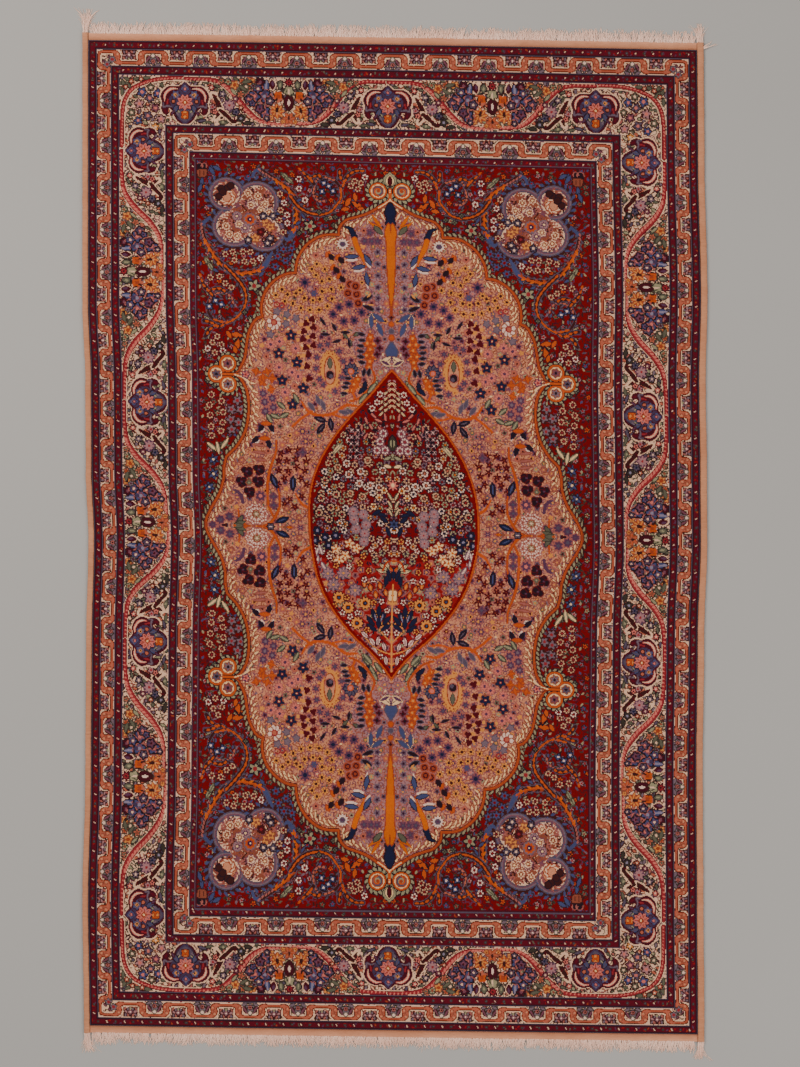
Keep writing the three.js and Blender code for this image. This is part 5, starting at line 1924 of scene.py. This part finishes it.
def side_cord(side):
    """A flat bundle wrapped in wool: a rounded section swept along the side, swelling
    between wraps, radius times 1 + a cos(2 pi y / pitch), its line wavering a little."""
    s = 0.0 if side == "left" else 1.0
    inward = 1 if side == "left" else -1
    width = SELVEDGE_WIDTHS[side]
    low, high = kilim_edge(s, "near"), kilim_edge(s, "far")
    y = np.linspace(low, high, 900)
    chance = np.random.default_rng(21 if side == "left" else 22)
    waver = np.interp(y, np.linspace(low, high, 190), chance.normal(0, 0.45, 190))
    plump = np.interp(y, np.linspace(low, high, 420), chance.normal(0, 0.035, 420))
    swell = 1 + 0.03 * np.cos(2 * np.pi * y / WRAP_PITCH + 0.6 * np.sin(y / 37)) + plump
    angle = np.linspace(0, 2 * np.pi, 15)[:-1]
    c, h = np.cos(angle), np.sin(angle)
    across = 0.5 * np.sign(c) * np.abs(c) ** 0.62
    up = 0.5 * np.sign(h) * np.abs(h) ** 0.8
    middle = eased(y, SIDES, 1 if side == "left" else 2) + inward * width / 2 + waver * 0.5
    half_room = width * 0.955
    x = middle[:, None] + across[None, :] * half_room * (1 + 0.35 * (swell - 1))[:, None]
    z = SELVEDGE_THICKNESS * (0.5 + up[None, :] * 0.94 * np.minimum(swell, 1.06)[:, None])
    z = np.maximum(z, 0.15)
    along = np.broadcast_to(y[:, None], x.shape)
    points = placed(x.ravel(), along.ravel(), z.ravel())
    ring = len(angle)
    a = (np.arange(len(y) - 1)[:, None] * ring + np.arange(ring)[None, :]).ravel()
    b = (np.arange(len(y) - 1)[:, None] * ring + (np.arange(ring)[None, :] + 1) % ring).ravel()
    faces = np.stack([a, b, b + ring, a + ring], 1)[:, ::-1]
    cord = mesh_piece(f"overcast_{side}", points, faces, side_wool)
    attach(cord, "root")
    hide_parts(f"selvedge_{side}")
    return cord


side_wool = wrapped_wool()
cords = [side_cord(side) for side in ("left", "right")]


# ---- flat-woven ends -------------------------------------------------------------------
kilim_cotton = plain_cotton("kilim_cotton", (186, 122, 92), (222, 164, 132), 520.0, 90.0, shaded=True)
fringe_cotton = plain_cotton("fringe_cotton", (242, 188, 162), (255, 222, 204), 30.0, 900.0)


def kilim_band(end):
    """A plain woven band past the last knots: wefts as ridges, z = h + a |sin(pi y / p)|, with painted shade
    beside the pile that fades outwards.
    """
    outward = 1 if end == "far" else -1
    t = 1.0 if end == "far" else 0.0
    s = np.linspace(0, 1, 260)
    out = np.linspace(CLEARANCE, KILIM_LENGTH, 19)
    out = np.r_[out[0], out, out[-1]]
    across, outs = np.meshgrid(s, out)
    x, row = pile_point(across, np.full_like(across, t))
    chance = np.random.default_rng(31 if end == "far" else 32)
    ragged = np.interp(s, np.linspace(0, 1, 90), chance.normal(0, 0.5, 90))
    y = row + outward * (outs - (outs / KILIM_LENGTH) ** 2 * np.abs(ragged)[None, :])
    ridge = 0.35 * np.abs(np.sin(np.pi * outs / 3.7 + 2 * np.sin(across * 60)))
    z = KILIM_THICKNESS - 0.5 + ridge
    z[0] = z[-1] = 0.2
    points = placed(x.ravel(), y.ravel(), z.ravel())
    faces = grid_faces(len(out), len(s))
    faces = faces if outward > 0 else faces[:, ::-1]
    # Painted shade beside the pile: darkest at the last knots, fading out towards the fringe.
    pile_shade_fade = np.clip(outs[:-1, :-1].ravel() / KILIM_LENGTH, 0, 1)[:, None]
    shade = np.array([0.58, 0.50, 0.45]) * (1 - pile_shade_fade) + np.array([0.90, 0.86, 0.83]) * pile_shade_fade
    band = mesh_piece(f"kilim_{end}", points, faces, kilim_cotton, colours=shade)
    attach(band, "root")
    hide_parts("fringe_top" if end == "far" else "fringe_bottom")
    return band


def strands(name, roots, heading, lengths, thickness, bends, lifts, seed, material, splay=1.5):
    """Threads as flattened three-sided tapering tubes. A point a share t along a thread is
    root + length t (heading + bend t^splay across) + wave(t), and its height is
    lift 4 t (1 - t) above a line that sinks from the root to the floor."""
    chance = np.random.default_rng(seed)
    steps = 5
    n = len(roots)
    t = np.linspace(0, 1, steps)[None, :]
    forward = np.stack([np.cos(heading), np.sin(heading)], 1)
    across = np.stack([-forward[:, 1], forward[:, 0]], 1)
    wave = chance.normal(0, 0.5, (n, 1)) * np.sin(2 * np.pi * t * chance.uniform(0.6, 1.6, (n, 1))
                                                  + chance.uniform(0, 6, (n, 1))) * t * 2
    run = lengths[:, None] * t
    aside = lengths[:, None] * bends[:, None] * t ** splay + wave
    x = roots[:, 0, None] + run * forward[:, 0, None] + aside * across[:, 0, None]
    y = roots[:, 1, None] + run * forward[:, 1, None] + aside * across[:, 1, None]
    r = thickness[:, None] * (1 - 0.55 * t)
    z = roots[:, 2, None] * (1 - t) ** 1.3 + lifts[:, None] * 4 * t * (1 - t) + 0.5 * r + 0.1
    turn = np.arange(3) * 2 * np.pi / 3 + 0.5
    sideways = r[..., None] * np.cos(turn)
    px = x[..., None] + sideways * across[:, 0, None, None]
    py = y[..., None] + sideways * across[:, 1, None, None]
    pz = z[..., None] + 0.5 * r[..., None] * np.sin(turn)
    points = placed(px.ravel(), py.ravel(), pz.ravel())
    base = (np.arange(n)[:, None, None] * steps + np.arange(steps - 1)[None, :, None]) * 3
    a = (base + np.arange(3)).ravel()
    b = (base + (np.arange(3) + 1) % 3).ravel()
    faces = np.stack([a, b, b + 3, a + 3], 1)[:, ::-1]
    return mesh_piece(name, points, faces, material)


LOCKS_PER_END = 136
THREADS_PER_LOCK = 16
FRINGE_LENGTH = 22.0


def fringe(end):
    """Cut warps in small uneven bunches, fanned and curling past the flat-woven band."""
    outward = 1 if end == "far" else -1
    chance = np.random.default_rng(41 if end == "far" else 42)
    n = LOCKS_PER_END * THREADS_PER_LOCK
    lock = np.repeat(np.arange(LOCKS_PER_END), THREADS_PER_LOCK)
    lean = chance.normal(0, 0.16, LOCKS_PER_END)
    reach = 1 + chance.normal(0, 0.14, LOCKS_PER_END)
    s = (lock + 0.5 + chance.uniform(-0.52, 0.52, n)) / LOCKS_PER_END
    s = 0.004 + 0.992 * s
    x, _ = pile_point(s, np.full(n, 1.0 if end == "far" else 0.0))
    y = kilim_edge(s, end) - outward * 1.2
    roots = np.stack([x, y, chance.uniform(0.2, 1.9, n)], 1)
    heading = outward * np.pi / 2 + lean[lock] + chance.normal(0, 0.17, n)
    lengths = FRINGE_LENGTH * reach[lock] * np.clip(chance.normal(0.92, 0.2, n), 0.35, 1.25)
    lengths = np.minimum(lengths, FRINGE_LENGTH * 1.28)
    bends = chance.normal(0, 0.3, n)
    piece = strands(f"fringe_{end}", roots, heading, lengths, chance.uniform(0.9, 1.5, n), bends,
                    np.abs(chance.normal(0.4, 0.7, n)), 51 if end == "far" else 52, fringe_cotton)
    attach(piece, "root")
    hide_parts("fringe_top" if end == "far" else "fringe_bottom")
    return piece


# The longer bunches at the four corners: side, end, longest and mean lean inwards.
CORNER_TUFTS = (("left", "far", 56, 5), ("left", "near", 47, 5), ("right", "far", 45, 3),
                ("right", "near", 43, 3))


def corner_tuft(side, end, longest, lean):
    outward = 1 if end == "far" else -1
    inward = 1 if side == "left" else -1
    s = 0.0 if side == "left" else 1.0
    chance = np.random.default_rng(longest * 3 + int(lean))
    n = 70
    width = SELVEDGE_WIDTHS[side]
    root_y = kilim_edge(s, end)
    share = chance.uniform(0.06, 0.94, n)
    x = eased(np.array([root_y]), SIDES, 1 if side == "left" else 2) + inward * share * width
    roots = np.stack([x, np.full(n, root_y - outward * 1.5), chance.uniform(0.3, 3.4, n)], 1)
    heading = outward * (np.pi / 2) - outward * inward * np.radians(lean) * share * 2
    heading = heading + outward * inward * (share - 0.5) * 0.22 + chance.normal(0, 0.05, n)
    lengths = longest * np.clip(chance.normal(0.78, 0.16, n), 0.35, 1.0)
    piece = strands(f"tuft_{side}_{end}", roots, heading, lengths, chance.uniform(0.8, 1.3, n),
                    chance.normal(0, 0.26, n), np.abs(chance.normal(0.8, 0.9, n)), longest,
                    fringe_cotton, 3.0)
    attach(piece, "root")
    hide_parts(f"selvedge_{side}")
    return piece


def stray_threads():
    """A few long warp ends that stick out sideways at the far right corner."""
    angles = np.radians([12, 20, 27, 34, 16])
    lengths = np.array([31.0, 34.0, 25.0, 14.0, 20.0])
    edge = kilim_edge(1.0, "far") - np.array([14.0, 12.5, 11.5, 10.0, 13.0])
    roots = np.stack([eased(edge, SIDES, 2) - 1.0, edge, np.full(5, 3.0)], 1)
    piece = strands("stray_threads", roots, angles, lengths, np.full(5, 0.9),
                    np.array([0.2, -0.1, 0.3, 0.1, 0.4]), np.full(5, 1.0), 77, fringe_cotton)
    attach(piece, "root")
    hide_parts("selvedge_right")
    return piece


bands = [kilim_band(end) for end in ("far", "near")]
fringes = [fringe(end) for end in ("far", "near")]
tufts = [corner_tuft(*tuft) for tuft in CORNER_TUFTS]
tufts.append(stray_threads())


# ---- room, light and camera -----------------------------------------------------------
def floor():
    """A broad pale board under the rug."""
    shader = Shader("pale_floor", {"Roughness": 0.8, "Specular IOR Level": 0.2})
    cloud = shader.noise(shader.place(), 1.2, 2.0, 0.5)
    shader.drive("Base Color", shader.mix(cloud, (0.30, 0.294, 0.284), (0.335, 0.328, 0.318)))
    points = np.array([(-30, -30, -0.0004), (30, -30, -0.0004), (30, 30, -0.0004), (-30, 30, -0.0004)])
    board = mesh_piece("floor", points, np.array([[0, 1, 2, 3]]), shader.material)


def lamp(name, place, size, power, colour):
    light = bpy.data.lights.new(name, "AREA")
    light.shape, light.size, light.energy, light.color = "SQUARE", size, power, colour
    held = bpy.data.objects.new(name, light)
    held.location = place
    held.rotation_mode = "QUATERNION"
    away = -np.array(place, float)
    held.rotation_quaternion = Vector(away.tolist()).to_track_quat("-Z", "Y")
    bpy.context.scene.collection.objects.link(held)


floor()
lamp("key", (-3.2, 2.6, 4.2), 3.0, 325, (1.0, 0.93, 0.86))
lamp("fill", (3.4, -2.4, 4.0), 3.6, 197, (1.0, 0.95, 0.90))
world = bpy.data.worlds.new("studio")
world.use_nodes = True
world.node_tree.nodes["Background"].inputs["Color"].default_value = (1.0, 0.96, 0.92, 1)
world.node_tree.nodes["Background"].inputs["Strength"].default_value = 0.55
bpy.context.scene.world = world

CAMERA_HEIGHT = 6.0
FRAME_HEIGHT = 2.401
SENSOR_WIDTH = 36.0
camera = bpy.data.objects.new("camera", bpy.data.cameras.new("camera"))
camera.location = (0.0126, 0.0018, CAMERA_HEIGHT)
camera.data.sensor_fit = "AUTO"
camera.data.sensor_width = SENSOR_WIDTH
camera.data.lens = SENSOR_WIDTH * CAMERA_HEIGHT / FRAME_HEIGHT
bpy.context.scene.collection.objects.link(camera)
bpy.context.scene.camera = camera
